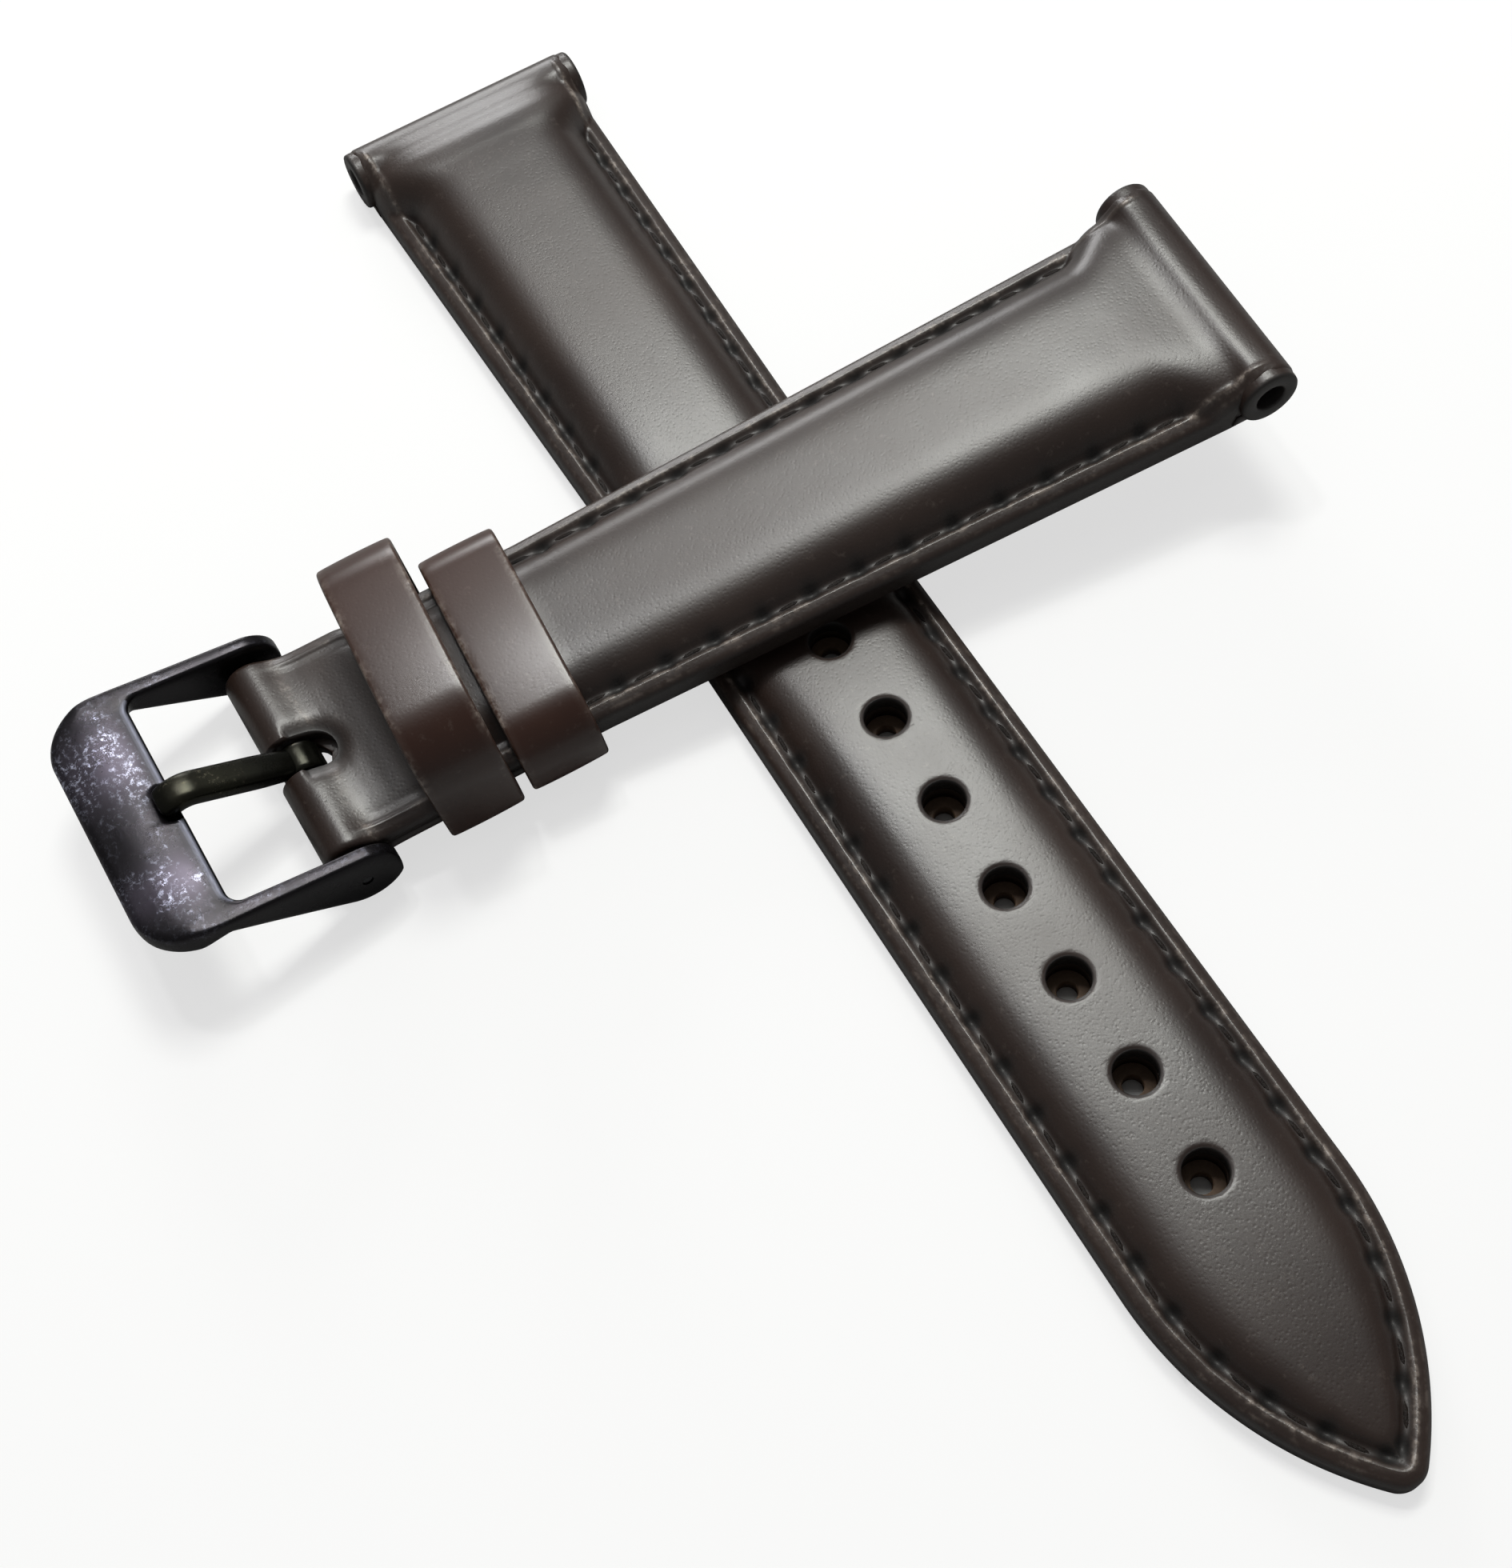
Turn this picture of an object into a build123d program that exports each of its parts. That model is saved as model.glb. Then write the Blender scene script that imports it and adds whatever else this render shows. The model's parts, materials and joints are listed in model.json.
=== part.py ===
from build123d import *
import os
from math import acos, atan, cos, degrees, radians, sin, sqrt, tan

# A two-piece leather watch strap with a pin buckle, in millimetres.
# X runs along the long piece from its lug loop to its tip, Z is up, and the origin is
# the centre of the long piece's lug bore. The short piece lies across the long one.

# Leather, shared by both pieces
lug_width = 18.0
body_width = 17.2
cover_thickness = 1.1
lining_thickness = 0.9
lug_bore_radius = 1.0
ramp_length = 5.0
edge_turn = 0.8
edge_round = 0.6
under_bevel = 0.3
overrun = 2.0

# Stitching
stitch_inset = 1.4
stitch_pitch = 3.3
stitch_length = 2.5
thread_width = 0.55
groove_width = 0.9
groove_depth = 0.25
thread_stand = 0.2
under_thread_height = 0.2
first_stitch = 5.2

# Padding
pad_margin = 2.1
pad_gap = 0.5
pad_height_at_lug = 2.1
crown_flats = 6

# Long piece
long_length = 113.6
long_taper_length = 46.0
long_tail_width = 14.8
tip_length = 16.6
tip_round = 1.5
pad_height_mid = 1.7
pad_height_tail = 1.2
pad_tip_shares = (0.35, 0.6, 0.8, 0.93)
hole_count = 7
hole_pitch = 6.7
first_hole = 53.8
hole_radius = 1.35

# Short piece, measured from its lug end like the long one
short_length = 66.0
short_taper_length = 48.0
short_end_width = 14.4
tab_flare_out = 0.4
tab_thickness = 1.0
tab_flare_start = 58.4
tab_flare_end = 60.4
pad_height_short_end = 1.0
pad_height_at_tab = 0.35
pad_run_out = 1.8
short_stitch_end = 50.6
lining_past_stitches = 1.4

# Keepers
fixed_keeper_start = 48.8
fixed_keeper_length = 5.2
free_keeper_start = 54.7
free_keeper_length = 5.0
keeper_skin = 0.7
keeper_lining = 0.3
fixed_keeper_side_gap = 0.3
free_keeper_side_gap = 0.15
keeper_floor_gap = 0.05
fixed_keeper_rise = 1.0
free_keeper_rise = 5.4
keeper_corner = 0.4
fixed_shoulder = 2.2
free_shoulder = 3.4
keeper_crown = 0.5

# Spring bar
bar_radius = 0.75
bar_bore_radius = 0.52
bar_leather_gap = 0.1
bar_end_gap = 0.15
crimp_length = 0.4
crimp_radius = 0.37
collar_radius = 0.47
collar_length = 0.9
collar_gap = 0.02
pin_radius = 0.32
pin_reach = 1.1
spring_wire_radius = 0.09
spring_radius = 0.34
spring_pitch = 2.6
wire_sides = 4
spring_gap = 0.05

# Buckle: the lobes round the bar, the knee behind the front bar, its belly and its nose, each
# a circle in the side view, placed ahead of the bar and above it
tab_arm_gap = 0.5
arm_thickness = 1.2
lobe_radius = 2.35
knee_radius = 0.6
knee_reach = 8.75
knee_rise = 0.45
belly_radius = 0.95
belly_reach = 10.7
belly_drop = 0.15
nose_radius = 0.7
nose_reach = 12.75
nose_drop = 0.75
front_corner = 3.5
window_corner = 0.9
arm_hole_gap = 0.05

# Tongue
tongue_width = 2.1
tongue_thickness = 1.4
tongue_ring_wall = 0.6
tongue_ring_gap = 0.08
tongue_slot_gap = 0.3
tongue_slot_reach = 2.9
tongue_root_reach = 0.9
tongue_root_rise = 0.65
tongue_straight = 6.3
tongue_lift = 9.5
tongue_bend_radius = 1.9
tongue_bend = 54.0
tongue_tip_length = 0.5
tongue_corner = 0.55
tongue_rest_gap = 0.08

# How the short piece lies: its bore centre beside the origin, its heading, its lie on the
# long piece, the turn of the bar out of square with the tab, and the tilt of the buckle
# frame about its bar
short_bore_x = 45.4
short_bore_y = 31.4
short_heading = -93.2
short_slope = 3.6
crossing_gap = 0.2
bar_skew = 4.2
frame_tilt = -22.4

# Worked-out sizes
edge_thickness = lining_thickness + cover_thickness
loop_radius = lug_bore_radius + cover_thickness
tip_x = long_length - loop_radius
tip_start = tip_x - tip_length
long_taper_x = long_taper_length - loop_radius
tail_half = long_tail_width / 2
arch_radius = (tip_length**2 + tail_half**2) / long_tail_width
arch_drop = arch_radius - tail_half
pad_start = loop_radius + pad_gap
lining_start = loop_radius + pad_gap / 2
tab_width = short_end_width + 2 * tab_flare_out
buckle_inner_width = tab_width + 2 * tab_arm_gap
bar_x = short_length - loop_radius
bar_height = edge_thickness / 2
fold_radius = bar_radius + bar_leather_gap + tab_thickness
bar_length = buckle_inner_width - 2 * bar_end_gap
short_taper_x = short_taper_length - loop_radius
lining_end_x = short_stitch_end + lining_past_stitches - loop_radius
flare_start_x = tab_flare_start - loop_radius
flare_end_x = tab_flare_end - loop_radius


def long_half(x):
    """Half of the long piece's width at x."""
    share = min(max(x, 0) / long_taper_x, 1)
    return body_width / 2 + (tail_half - body_width / 2) * share


def short_half(x):
    """Half of the short piece's width at x: a taper, then the flare of the tab."""
    narrow = short_end_width / 2
    if x <= short_taper_x:
        return body_width / 2 + (narrow - body_width / 2) * max(x, 0) / short_taper_x
    share = min(max((x - flare_start_x) / (flare_end_x - flare_start_x), 0), 1)
    return narrow + (tab_width / 2 - narrow) * share


def long_outline(inset, from_x):
    """The long piece's plan, drawn in by an inset, with its pointed arch at the tip."""
    tail = tail_half - inset
    radius = arch_radius - inset
    turn = acos(arch_drop / radius)
    start = (from_x, long_half(from_x) - inset)
    middle = (tip_start + radius * sin(turn / 2), radius * cos(turn / 2) - arch_drop)
    apex = (tip_start + radius * sin(turn), 0)
    side = Polyline(start, (long_taper_x, tail), (tip_start, tail))
    side += ThreePointArc((tip_start, tail), middle, apex)
    back = Line(start, (start[0], -start[1]))
    return make_face(side + mirror(side, about=Plane.XZ) + back)


def short_outline(inset, from_x, to_x, skew=0):
    """The short piece's plan, drawn in by an inset, its far end cut square or at a skew."""
    stops = [x for x in (short_taper_x, flare_start_x, flare_end_x) if from_x < x < to_x]
    side = [(x, short_half(x) - inset) for x in [from_x] + stops]
    end = short_half(to_x) - inset
    shift = end * tan(radians(skew))
    ends = [(to_x - shift, end), (to_x + shift, -end)]
    return make_face(Polyline(*side, *ends, *[(x, -y) for x, y in reversed(side)], close=True))


def across(x):
    """The plane across the strap at x, with its own x along the width and y upwards."""
    return Plane(origin=(x, 0, 0), x_dir=(0, 1, 0), z_dir=(1, 0, 0))


def crown(stations, base, skirt=0):
    """A dome lofted through (x, half width, height) stations, its arched back in narrow flats."""
    sections = []
    for x, half, height in stations:
        radius = (half**2 + height**2) / (2 * height)
        turn = 4 * atan(height / half) / crown_flats
        spots = [turn * (i - crown_flats / 2) for i in range(crown_flats + 1)]
        back = [(radius * sin(a), base + height - radius * (1 - cos(a))) for a in spots]
        feet = [(half, base - skirt), (-half, base - skirt)] if skirt else []
        sections.append(across(x) * make_face(Polyline(*back, *feet, close=True)))
    return loft(sections, ruled=True)


def long_stations(from_x):
    """The padding's stations along the long piece, narrowing with the arch at the tip."""
    stations = [
        (from_x, long_half(from_x) - pad_margin, pad_height_at_lug),
        (long_taper_x, tail_half - pad_margin, pad_height_mid),
        (tip_start, tail_half - pad_margin, pad_height_tail),
    ]
    radius = arch_radius - pad_margin
    reach = sqrt(radius**2 - arch_drop**2)
    for share in pad_tip_shares:
        half = sqrt(radius**2 - (reach * share) ** 2) - arch_drop
        height = pad_height_tail * half / (tail_half - pad_margin)
        stations.append((tip_start + reach * share, half, height))
    return stations


def short_stations(from_x):
    """The padding's stations along the short piece, running out into the tab."""
    narrow = short_end_width / 2 - pad_margin
    return [
        (from_x, short_half(from_x) - pad_margin, pad_height_at_lug),
        (short_taper_x, narrow, pad_height_short_end),
        (flare_end_x - pad_run_out, narrow, pad_height_short_end),
        (flare_end_x, narrow, pad_height_at_tab),
    ]


def lug_loop(outline):
    """The turned-back leather at the lug: a tube over the full width and a ramp behind it."""
    tube = Rot(90, 0, 0) * Cylinder(loop_radius, lug_width)
    top = 2 * loop_radius
    wedge = Polyline((0, top), (ramp_length, edge_thickness), (0, edge_thickness), close=True)
    ramp = extrude(Plane.XZ * make_face(wedge), lug_width, both=True)
    return Pos(0, 0, loop_radius) * tube + (ramp & extrude(outline, top))


def lug_bore():
    """The spring bar's bore through a lug loop."""
    cutter = Cylinder(lug_bore_radius, lug_width + overrun)
    return Pos(0, 0, loop_radius) * Rot(90, 0, 0) * cutter


def edge_slab(outline):
    """The cover leather's flat part, turned down at the edge: a round rim, bevelled beneath."""
    slab = extrude(outline, edge_thickness)
    slab = fillet(slab.edges().group_by(Axis.Z)[-1], edge_round)
    return chamfer(slab.edges().group_by(Axis.Z)[0], under_bevel)


def tongue_holes():
    """The row of punched holes for the buckle's tongue."""
    places = [first_hole - loop_radius + hole_pitch * i for i in range(hole_count)]
    punch = Cylinder(hole_radius, 3 * edge_thickness + overrun)
    return Part() + [Pos(x, 0, edge_thickness) * punch for x in places]


def long_rail(distance, inset):
    """A point and heading on the long piece's stitch line, measured from its start."""
    start_y = long_half(first_stitch) - inset
    tail = tail_half - inset
    drop = start_y - tail
    run = long_taper_x - first_stitch
    slant = sqrt(run**2 + drop**2)
    if distance < slant:
        share = distance / slant
        return first_stitch + run * share, start_y - drop * share, -drop / run
    rest = distance - slant
    if rest < tip_start - long_taper_x:
        return long_taper_x + rest, tail, 0
    radius = arch_radius - inset
    turn = (rest - (tip_start - long_taper_x)) / radius
    return tip_start + radius * sin(turn), radius * cos(turn) - arch_drop, -turn


def long_rail_length(inset):
    """The length of the stitch line on one side of the long piece, up to the tip."""
    drop = long_half(first_stitch) - tail_half
    slant = sqrt((long_taper_x - first_stitch) ** 2 + drop**2)
    radius = arch_radius - inset
    return slant + tip_start - long_taper_x + radius * acos(arch_drop / radius)


def stitch(x, y, heading, foot, height):
    """One stitch: a short bar of thread with sloping sides, lying in its groove."""
    half = thread_width / 2
    ridge = half / 2
    shape = Polyline((-half, 0), (half, 0), (ridge, height), (-ridge, height), close=True)
    bar = extrude(across(-stitch_length / 2) * make_face(shape), stitch_length)
    return Pos(x, y, foot) * Rot(0, 0, heading) * bar


def long_stitches(foot, height):
    """Both rows of the long piece, met at the tip."""
    length = long_rail_length(stitch_inset)
    count = int((length - stitch_length / 2) / stitch_pitch)
    bars = []
    for i in range(count + 1):
        x, y, slope = long_rail(stitch_pitch * i + stitch_length / 2, stitch_inset)
        for side in (1, -1):
            bars.append(stitch(x, side * y, side * degrees(slope), foot, height))
    return Compound(children=bars)


def short_stitches(foot, height):
    """Both rows of the short piece, up to the fixed keeper."""
    end = short_stitch_end - loop_radius
    count = int((end - first_stitch - stitch_length) / stitch_pitch)
    slope = degrees((body_width - short_end_width) / 2 / short_taper_x)
    bars = []
    for i in range(count + 1):
        x = first_stitch + stitch_length / 2 + stitch_pitch * i
        y = short_half(x) - stitch_inset
        for side in (1, -1):
            bars.append(stitch(x, side * y, -side * slope, foot, height))
    return Compound(children=bars)


def groove(outer, inner, foot, top):
    """The channel that a stitch line lies in, between two plans."""
    return Pos(0, 0, foot) * extrude(outer - inner, top - foot)


def long_groove(foot, top):
    """The long piece's stitch channel, open at the lug."""
    half = groove_width / 2
    outer = long_outline(stitch_inset - half, first_stitch - half)
    inner = long_outline(stitch_inset + half, first_stitch - overrun)
    return groove(outer, inner, foot, top)


def short_groove(foot, top):
    """The short piece's two stitch channels."""
    half = groove_width / 2
    end = short_stitch_end - loop_radius
    outer = short_outline(stitch_inset - half, first_stitch - half, end)
    inner = short_outline(stitch_inset + half, first_stitch - overrun, end + overrun)
    return groove(outer, inner, foot, top)


def long_padding():
    """The filler that gives the long piece its crowned back."""
    return crown(long_stations(pad_start), lining_thickness) - tongue_holes()


def long_lining():
    """The thin leather against the wrist, inside the turned edge."""
    sheet = extrude(long_outline(edge_turn, lining_start), lining_thickness)
    return sheet - tongue_holes() - long_groove(-overrun, under_thread_height)


def long_cover():
    """The top leather: turned edge, crown over the padding, stitch channel and lug loop."""
    outline = long_outline(0, 0)
    shell = edge_slab(fillet(outline.vertices().group_by(Axis.X)[-1], tip_round))
    shell += lug_loop(outline)
    shell += crown(long_stations(0), edge_thickness, cover_thickness / 2)
    shell -= crown(long_stations(pad_start), lining_thickness)
    shell -= extrude(long_outline(edge_turn, lining_start), lining_thickness)
    shell -= long_groove(edge_thickness - groove_depth, 2 * loop_radius)
    return shell - lug_bore() - tongue_holes()


def tongue_slot():
    """The slot through the fold that the tongue's ring turns in, about the bar's centre."""
    half = tongue_width / 2 + tongue_slot_gap
    back = half - tongue_slot_reach
    front = fold_radius + overrun
    height = 2 * front
    run = Pos((back + front) / 2, 0, 0) * Box(front - back, 2 * half, height)
    return run + Pos(back, 0, 0) * Cylinder(half, height)


def short_padding():
    """The filler of the short piece, skived away towards the tab."""
    return crown(short_stations(pad_start), lining_thickness)


def short_lining():
    """The short piece's lining, ending against the folded-back tab."""
    sheet = extrude(short_outline(edge_turn, lining_start, lining_end_x), lining_thickness)
    return sheet - short_groove(-overrun, under_thread_height)


def short_cover():
    """The top leather, running out as the tab that folds round the spring bar."""
    outline = short_outline(0, 0, bar_x, bar_skew)
    shell = edge_slab(outline) + lug_loop(outline)
    shell += crown(short_stations(0), edge_thickness, cover_thickness / 2)
    shell += bar_seat * round_bar(fold_radius, -tab_width / 2, tab_width / 2)
    shell -= crown(short_stations(pad_start), lining_thickness)
    shell -= extrude(short_outline(edge_turn, lining_start, lining_end_x), lining_thickness)
    shell -= short_groove(edge_thickness - groove_depth, 2 * loop_radius)
    shell -= bar_seat * round_bar(bar_radius + bar_leather_gap, -tab_width, tab_width)
    return shell - lug_bore() - bar_seat * tongue_slot()


def keeper_section(inner_half, inner_top, shoulder, grow):
    """A keeper's closed section, grown outwards from its inner face."""
    half = inner_half + grow
    foot = -keeper_floor_gap - grow
    rim = inner_top + grow
    spring_line = rim - keeper_crown
    lines = Polyline((-half, spring_line), (-half, foot), (half, foot), (half, spring_line))
    lines += ThreePointArc((half, spring_line), (0, rim), (-half, spring_line))
    face = make_face(lines)
    face = fillet(face.vertices().group_by(Axis.Y)[-1], shoulder + grow)
    return fillet(face.vertices().group_by(Axis.Y)[0], keeper_corner + grow)


def keeper_band(start, length, inner_half, rise, shoulder, inner_grow, outer_grow):
    """One leather layer of a keeper, between two growths of its section."""
    top = edge_thickness + pad_height_short_end + rise
    outer = keeper_section(inner_half, top, shoulder, outer_grow)
    inner = keeper_section(inner_half, top, shoulder, inner_grow)
    return extrude(across(start - loop_radius) * (outer - inner), length)


def fixed_keeper_layer(inner_grow, outer_grow):
    """A layer of the keeper that is fixed to the strap."""
    half = short_end_width / 2 + fixed_keeper_side_gap
    return keeper_band(
        fixed_keeper_start, fixed_keeper_length, half, fixed_keeper_rise, fixed_shoulder,
        inner_grow, outer_grow,
    )


def free_keeper_layer(inner_grow, outer_grow):
    """A layer of the keeper that slides along the tab."""
    half = tab_width / 2 + free_keeper_side_gap
    return keeper_band(
        free_keeper_start, free_keeper_length, half, free_keeper_rise, free_shoulder,
        inner_grow, outer_grow,
    )


def round_bar(radius, start, end):
    """A round bar along the spring bar's axis, from one distance to another."""
    return Pos(0, (start + end) / 2, 0) * Rot(90, 0, 0) * Cylinder(radius, end - start)


def spring_bar_tube():
    """The spring bar's barrel, its ends crimped in over the pins."""
    half = bar_length / 2
    barrel = round_bar(bar_radius, -half, half)
    barrel -= round_bar(bar_bore_radius, crimp_length - half, half - crimp_length)
    return barrel - round_bar(crimp_radius, -half - overrun, half + overrun)


def spring_bar_pin():
    """The pin at the bar's +Y end: a collar held behind the crimp, and a tip into the arm."""
    neck = bar_length / 2 - crimp_length - collar_gap
    tip_end = buckle_inner_width / 2 + pin_reach
    collar = round_bar(collar_radius, neck - collar_length, neck)
    return collar + round_bar(pin_radius, neck, tip_end)


def spring_bar_spring():
    """The coil between the two pins' collars."""
    half = bar_length / 2 - crimp_length - collar_gap - collar_length - spring_gap
    height = 2 * (half - spring_wire_radius)
    coil = Helix(spring_pitch, height, spring_radius)
    start = Plane(origin=coil @ 0, z_dir=coil % 0)
    wire = start * RegularPolygon(spring_wire_radius, side_count=wire_sides)
    return Rot(90, 0, 0) * Pos(0, 0, -height / 2) * sweep(wire, path=coil, is_frenet=True)


def buckle_profile():
    """The frame from the side: an arm that tapers from its lobe to the knee, and the front bar."""
    lobe = Circle(lobe_radius)
    knee = Pos(knee_reach, knee_rise) * Circle(knee_radius)
    belly = Pos(belly_reach, -belly_drop) * Circle(belly_radius)
    nose = Pos(nose_reach, -nose_drop) * Circle(nose_radius)
    arm = make_hull(lobe.edges() + knee.edges())
    return arm + make_hull(knee.edges() + belly.edges() + nose.edges())


def buckle_frame():
    """The buckle's one-piece frame, with a window, pin holes and a rest for the tongue."""
    outer_half = buckle_inner_width / 2 + arm_thickness
    side = extrude(Plane.XZ * buckle_profile(), outer_half, both=True)
    front = nose_reach + nose_radius
    back = -lobe_radius - overrun
    plan = Pos((front + back) / 2, 0) * Rectangle(front - back, 2 * outer_half)
    plan = fillet(plan.vertices().group_by(Axis.X)[-1], front_corner)
    height = lobe_radius + overrun
    frame = side & extrude(plan, height, both=True)
    window_end = knee_reach - knee_radius
    window = Pos((window_end + back) / 2, 0) * Rectangle(window_end - back, buckle_inner_width)
    window = fillet(window.vertices().group_by(Axis.X)[-1], window_corner)
    frame -= extrude(window, height, both=True)
    hole = pin_radius + arm_hole_gap
    frame -= round_bar(hole, -outer_half - overrun, outer_half + overrun)
    return frame - tongue_arm(tongue_rest_gap)


def tongue_arm(grow):
    """The tongue's arm, arched over to its rest on the front bar, with its section grown."""
    heading = radians(tongue_lift)
    root = (tongue_root_reach, tongue_root_rise)
    ahead = (cos(heading), sin(heading))
    rise = (root[0] + tongue_straight * ahead[0], root[1] + tongue_straight * ahead[1])
    arm = Line(root, rise) + JernArc(rise, ahead, tongue_bend_radius, -tongue_bend)
    end = radians(tongue_lift - tongue_bend)
    tip = tongue_tip_length + grow
    fall = arm @ 1
    arm += Line(fall, (fall.X + tip * cos(end), fall.Y + tip * sin(end)))
    path = Plane.XZ * arm
    section = Plane(origin=path @ 0, x_dir=(0, 1, 0), z_dir=path % 0)
    width = tongue_width + 2 * grow
    section *= RectangleRounded(width, tongue_thickness + 2 * grow, tongue_corner + grow)
    return sweep(section, path=path)


def buckle_tongue():
    """The tongue: a ring round the bar and the arm that grows out of it."""
    inner = bar_radius + tongue_ring_gap
    ring = round_bar(inner + tongue_ring_wall, -tongue_width / 2, tongue_width / 2)
    return ring + tongue_arm(0) - round_bar(inner, -tongue_width, tongue_width)


def long_crest(x):
    """The height of the long piece's crown above the table at x, before its holes."""
    share = (x - pad_start) / (long_taper_x - pad_start)
    return edge_thickness + pad_height_at_lug + (pad_height_mid - pad_height_at_lug) * share


# Where each piece lies: the table is under the long piece, the short piece rests on its crown
slope = radians(short_slope)
crossing_run = short_bore_y + loop_radius * sin(slope)
crossing_height = long_crest(short_bore_x - body_width / 2) + crossing_gap
short_bore_z = crossing_height + crossing_run * tan(slope) + loop_radius * cos(slope)
on_table = Pos(0, 0, -loop_radius)
bar_seat = Pos(bar_x, 0, bar_height) * Rot(0, 0, bar_skew)
short_place = on_table * Pos(short_bore_x, short_bore_y, short_bore_z)
short_place *= Rot(0, 0, short_heading) * Rot(0, short_slope, 0) * Pos(0, 0, -loop_radius)
bar_place = short_place * bar_seat
frame_place = bar_place * Rot(0, frame_tilt, 0)

top_foot = edge_thickness - groove_depth
top_thread_height = groove_depth + thread_stand
layer = keeper_lining + keeper_skin

pieces = {
    "long_top_leather": on_table * long_cover(),
    "long_padding": on_table * long_padding(),
    "long_lining": on_table * long_lining(),
    "long_needle_thread": on_table * long_stitches(top_foot, top_thread_height),
    "long_bobbin_thread": on_table * long_stitches(0, under_thread_height),
    "short_top_leather": short_place * short_cover(),
    "short_padding": short_place * short_padding(),
    "short_lining": short_place * short_lining(),
    "short_needle_thread": short_place * short_stitches(top_foot, top_thread_height),
    "short_bobbin_thread": short_place * short_stitches(0, under_thread_height),
    "fixed_keeper_leather": short_place * fixed_keeper_layer(keeper_lining, layer),
    "fixed_keeper_lining": short_place * fixed_keeper_layer(0, keeper_lining),
    "free_keeper_leather": short_place * free_keeper_layer(keeper_lining, layer),
    "free_keeper_lining": short_place * free_keeper_layer(0, keeper_lining),
    "spring_bar_tube": bar_place * spring_bar_tube(),
    "spring_bar_spring": bar_place * spring_bar_spring(),
    "spring_bar_pin_right": bar_place * spring_bar_pin(),
    "spring_bar_pin_left": bar_place * Rot(0, 0, 180) * spring_bar_pin(),
    "buckle_frame": frame_place * buckle_frame(),
    "buckle_tongue": frame_place * buckle_tongue(),
}

os.makedirs("parts", exist_ok=True)
for name, piece in pieces.items():
    export_step(piece, f"parts/{name}.step")
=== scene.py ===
import json
import math
import bmesh
import bpy
import numpy as np
from mathutils import Matrix


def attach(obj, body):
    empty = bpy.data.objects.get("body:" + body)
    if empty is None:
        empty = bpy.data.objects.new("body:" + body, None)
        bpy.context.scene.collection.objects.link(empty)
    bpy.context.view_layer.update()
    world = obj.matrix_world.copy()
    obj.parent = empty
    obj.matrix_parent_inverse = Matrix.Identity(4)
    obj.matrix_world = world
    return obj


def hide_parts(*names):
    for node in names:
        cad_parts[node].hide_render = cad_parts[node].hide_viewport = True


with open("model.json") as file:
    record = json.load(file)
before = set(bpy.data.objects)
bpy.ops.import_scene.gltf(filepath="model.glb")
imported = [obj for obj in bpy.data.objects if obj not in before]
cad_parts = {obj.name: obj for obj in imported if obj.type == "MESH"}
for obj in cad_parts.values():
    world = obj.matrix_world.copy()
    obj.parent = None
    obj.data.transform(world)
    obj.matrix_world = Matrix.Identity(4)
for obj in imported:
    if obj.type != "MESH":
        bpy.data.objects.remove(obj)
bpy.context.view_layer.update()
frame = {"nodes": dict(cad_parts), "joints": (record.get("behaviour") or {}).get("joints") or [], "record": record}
print("frame loaded")

mm = 0.001
mounts = {m["name"]: m for m in frame["record"]["mounts"]}
joints = {j["name"]: j for j in frame["joints"]}


# Lay of the pieces
# every piece is worked out in millimetres on its own piece, then laid by an origin and three axes
def unit(v):
    # a vector over its own length
    return np.asarray(v, float) / np.linalg.norm(v)


strapLay = {
    "loopRadius": 2.1,  # outside of the lug loop, and so the bore's height over the underside
    "loopInner": 1.5,
    "frameTilt": -22.4,  # buckle frame about the spring bar, degrees
}
longLay = (np.array([0.0, 0.0, -strapLay["loopRadius"]]), np.eye(3))
shortX = -unit(joints["free_keeper_slide"]["axis"])
shortY = unit(mounts["short_lug_bore"]["axis"])
shortZ = np.cross(shortX, shortY)
shortBore = np.array(mounts["short_lug_bore"]["pos_m"])
shortLay = (shortBore / mm - strapLay["loopRadius"] * shortZ, np.array([shortX, shortY, shortZ]))
barY = -unit(joints["buckle_swing"]["axis"])
barX = np.cross(barY, shortZ)
barCentre = np.array(joints["buckle_swing"]["pos_m"]) / mm
tilt = math.radians(strapLay["frameTilt"])
frameX = math.cos(tilt) * barX - math.sin(tilt) * shortZ
frameZ = math.sin(tilt) * barX + math.cos(tilt) * shortZ
buckleLay = (barCentre, np.array([frameX, barY, frameZ]))


def laid(points, lay):
    # origin plus each coordinate times its axis, turned into metres
    return (lay[0] + np.asarray(points, float).reshape(-1, 3) @ lay[1]) * mm


# Small formulas
def ease(a, b, x):
    # 0 before a, 1 after b, and 3t^2 - 2t^3 in between
    t = np.clip((np.asarray(x, float) - a) / (b - a), 0, 1)
    return t * t * (3 - 2 * t)


def bell(x, width):
    # e to the minus (x / width) squared
    return np.exp(-((np.asarray(x, float) / width) ** 2))


def rounding(d, radius):
    # how far a quarter round of that radius has fallen at a distance d from the edge
    inside = np.clip(radius - d, 0, radius)
    return radius - np.sqrt(radius**2 - inside**2)


def squared(values, power):
    # keeps the sign and raises the size to 2 / power, which turns a circle into a squarish oval
    return np.sign(values) * np.abs(values) ** (2 / power)


def joined(*runs):
    # arrays one after another
    return np.concatenate(runs)


def pointsAt(*coordinates):
    # a grid of points from a grid, a row or a column of each coordinate
    return np.stack(np.broadcast_arrays(*coordinates), axis=-1)


def fullTurn(count):
    # evenly spaced angles once round
    return np.linspace(0, 2 * math.pi, count, endpoint=False)


def profile(x, places, heights):
    # a smooth line through the heights: between two places a cubic whose slopes there are those of
    # the neighbours' line
    x, places, heights = (np.asarray(v, float) for v in (x, places, heights))
    slopes = np.gradient(heights, places)
    i = np.clip(np.searchsorted(places, x) - 1, 0, len(places) - 2)
    gap = places[i + 1] - places[i]
    t = np.clip((x - places[i]) / gap, 0, 1)
    start = heights[i] + slopes[i] * gap * t
    end = heights[i + 1] - slopes[i + 1] * gap * (1 - t)
    return start + (end - start) * t * t * (3 - 2 * t)


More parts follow.
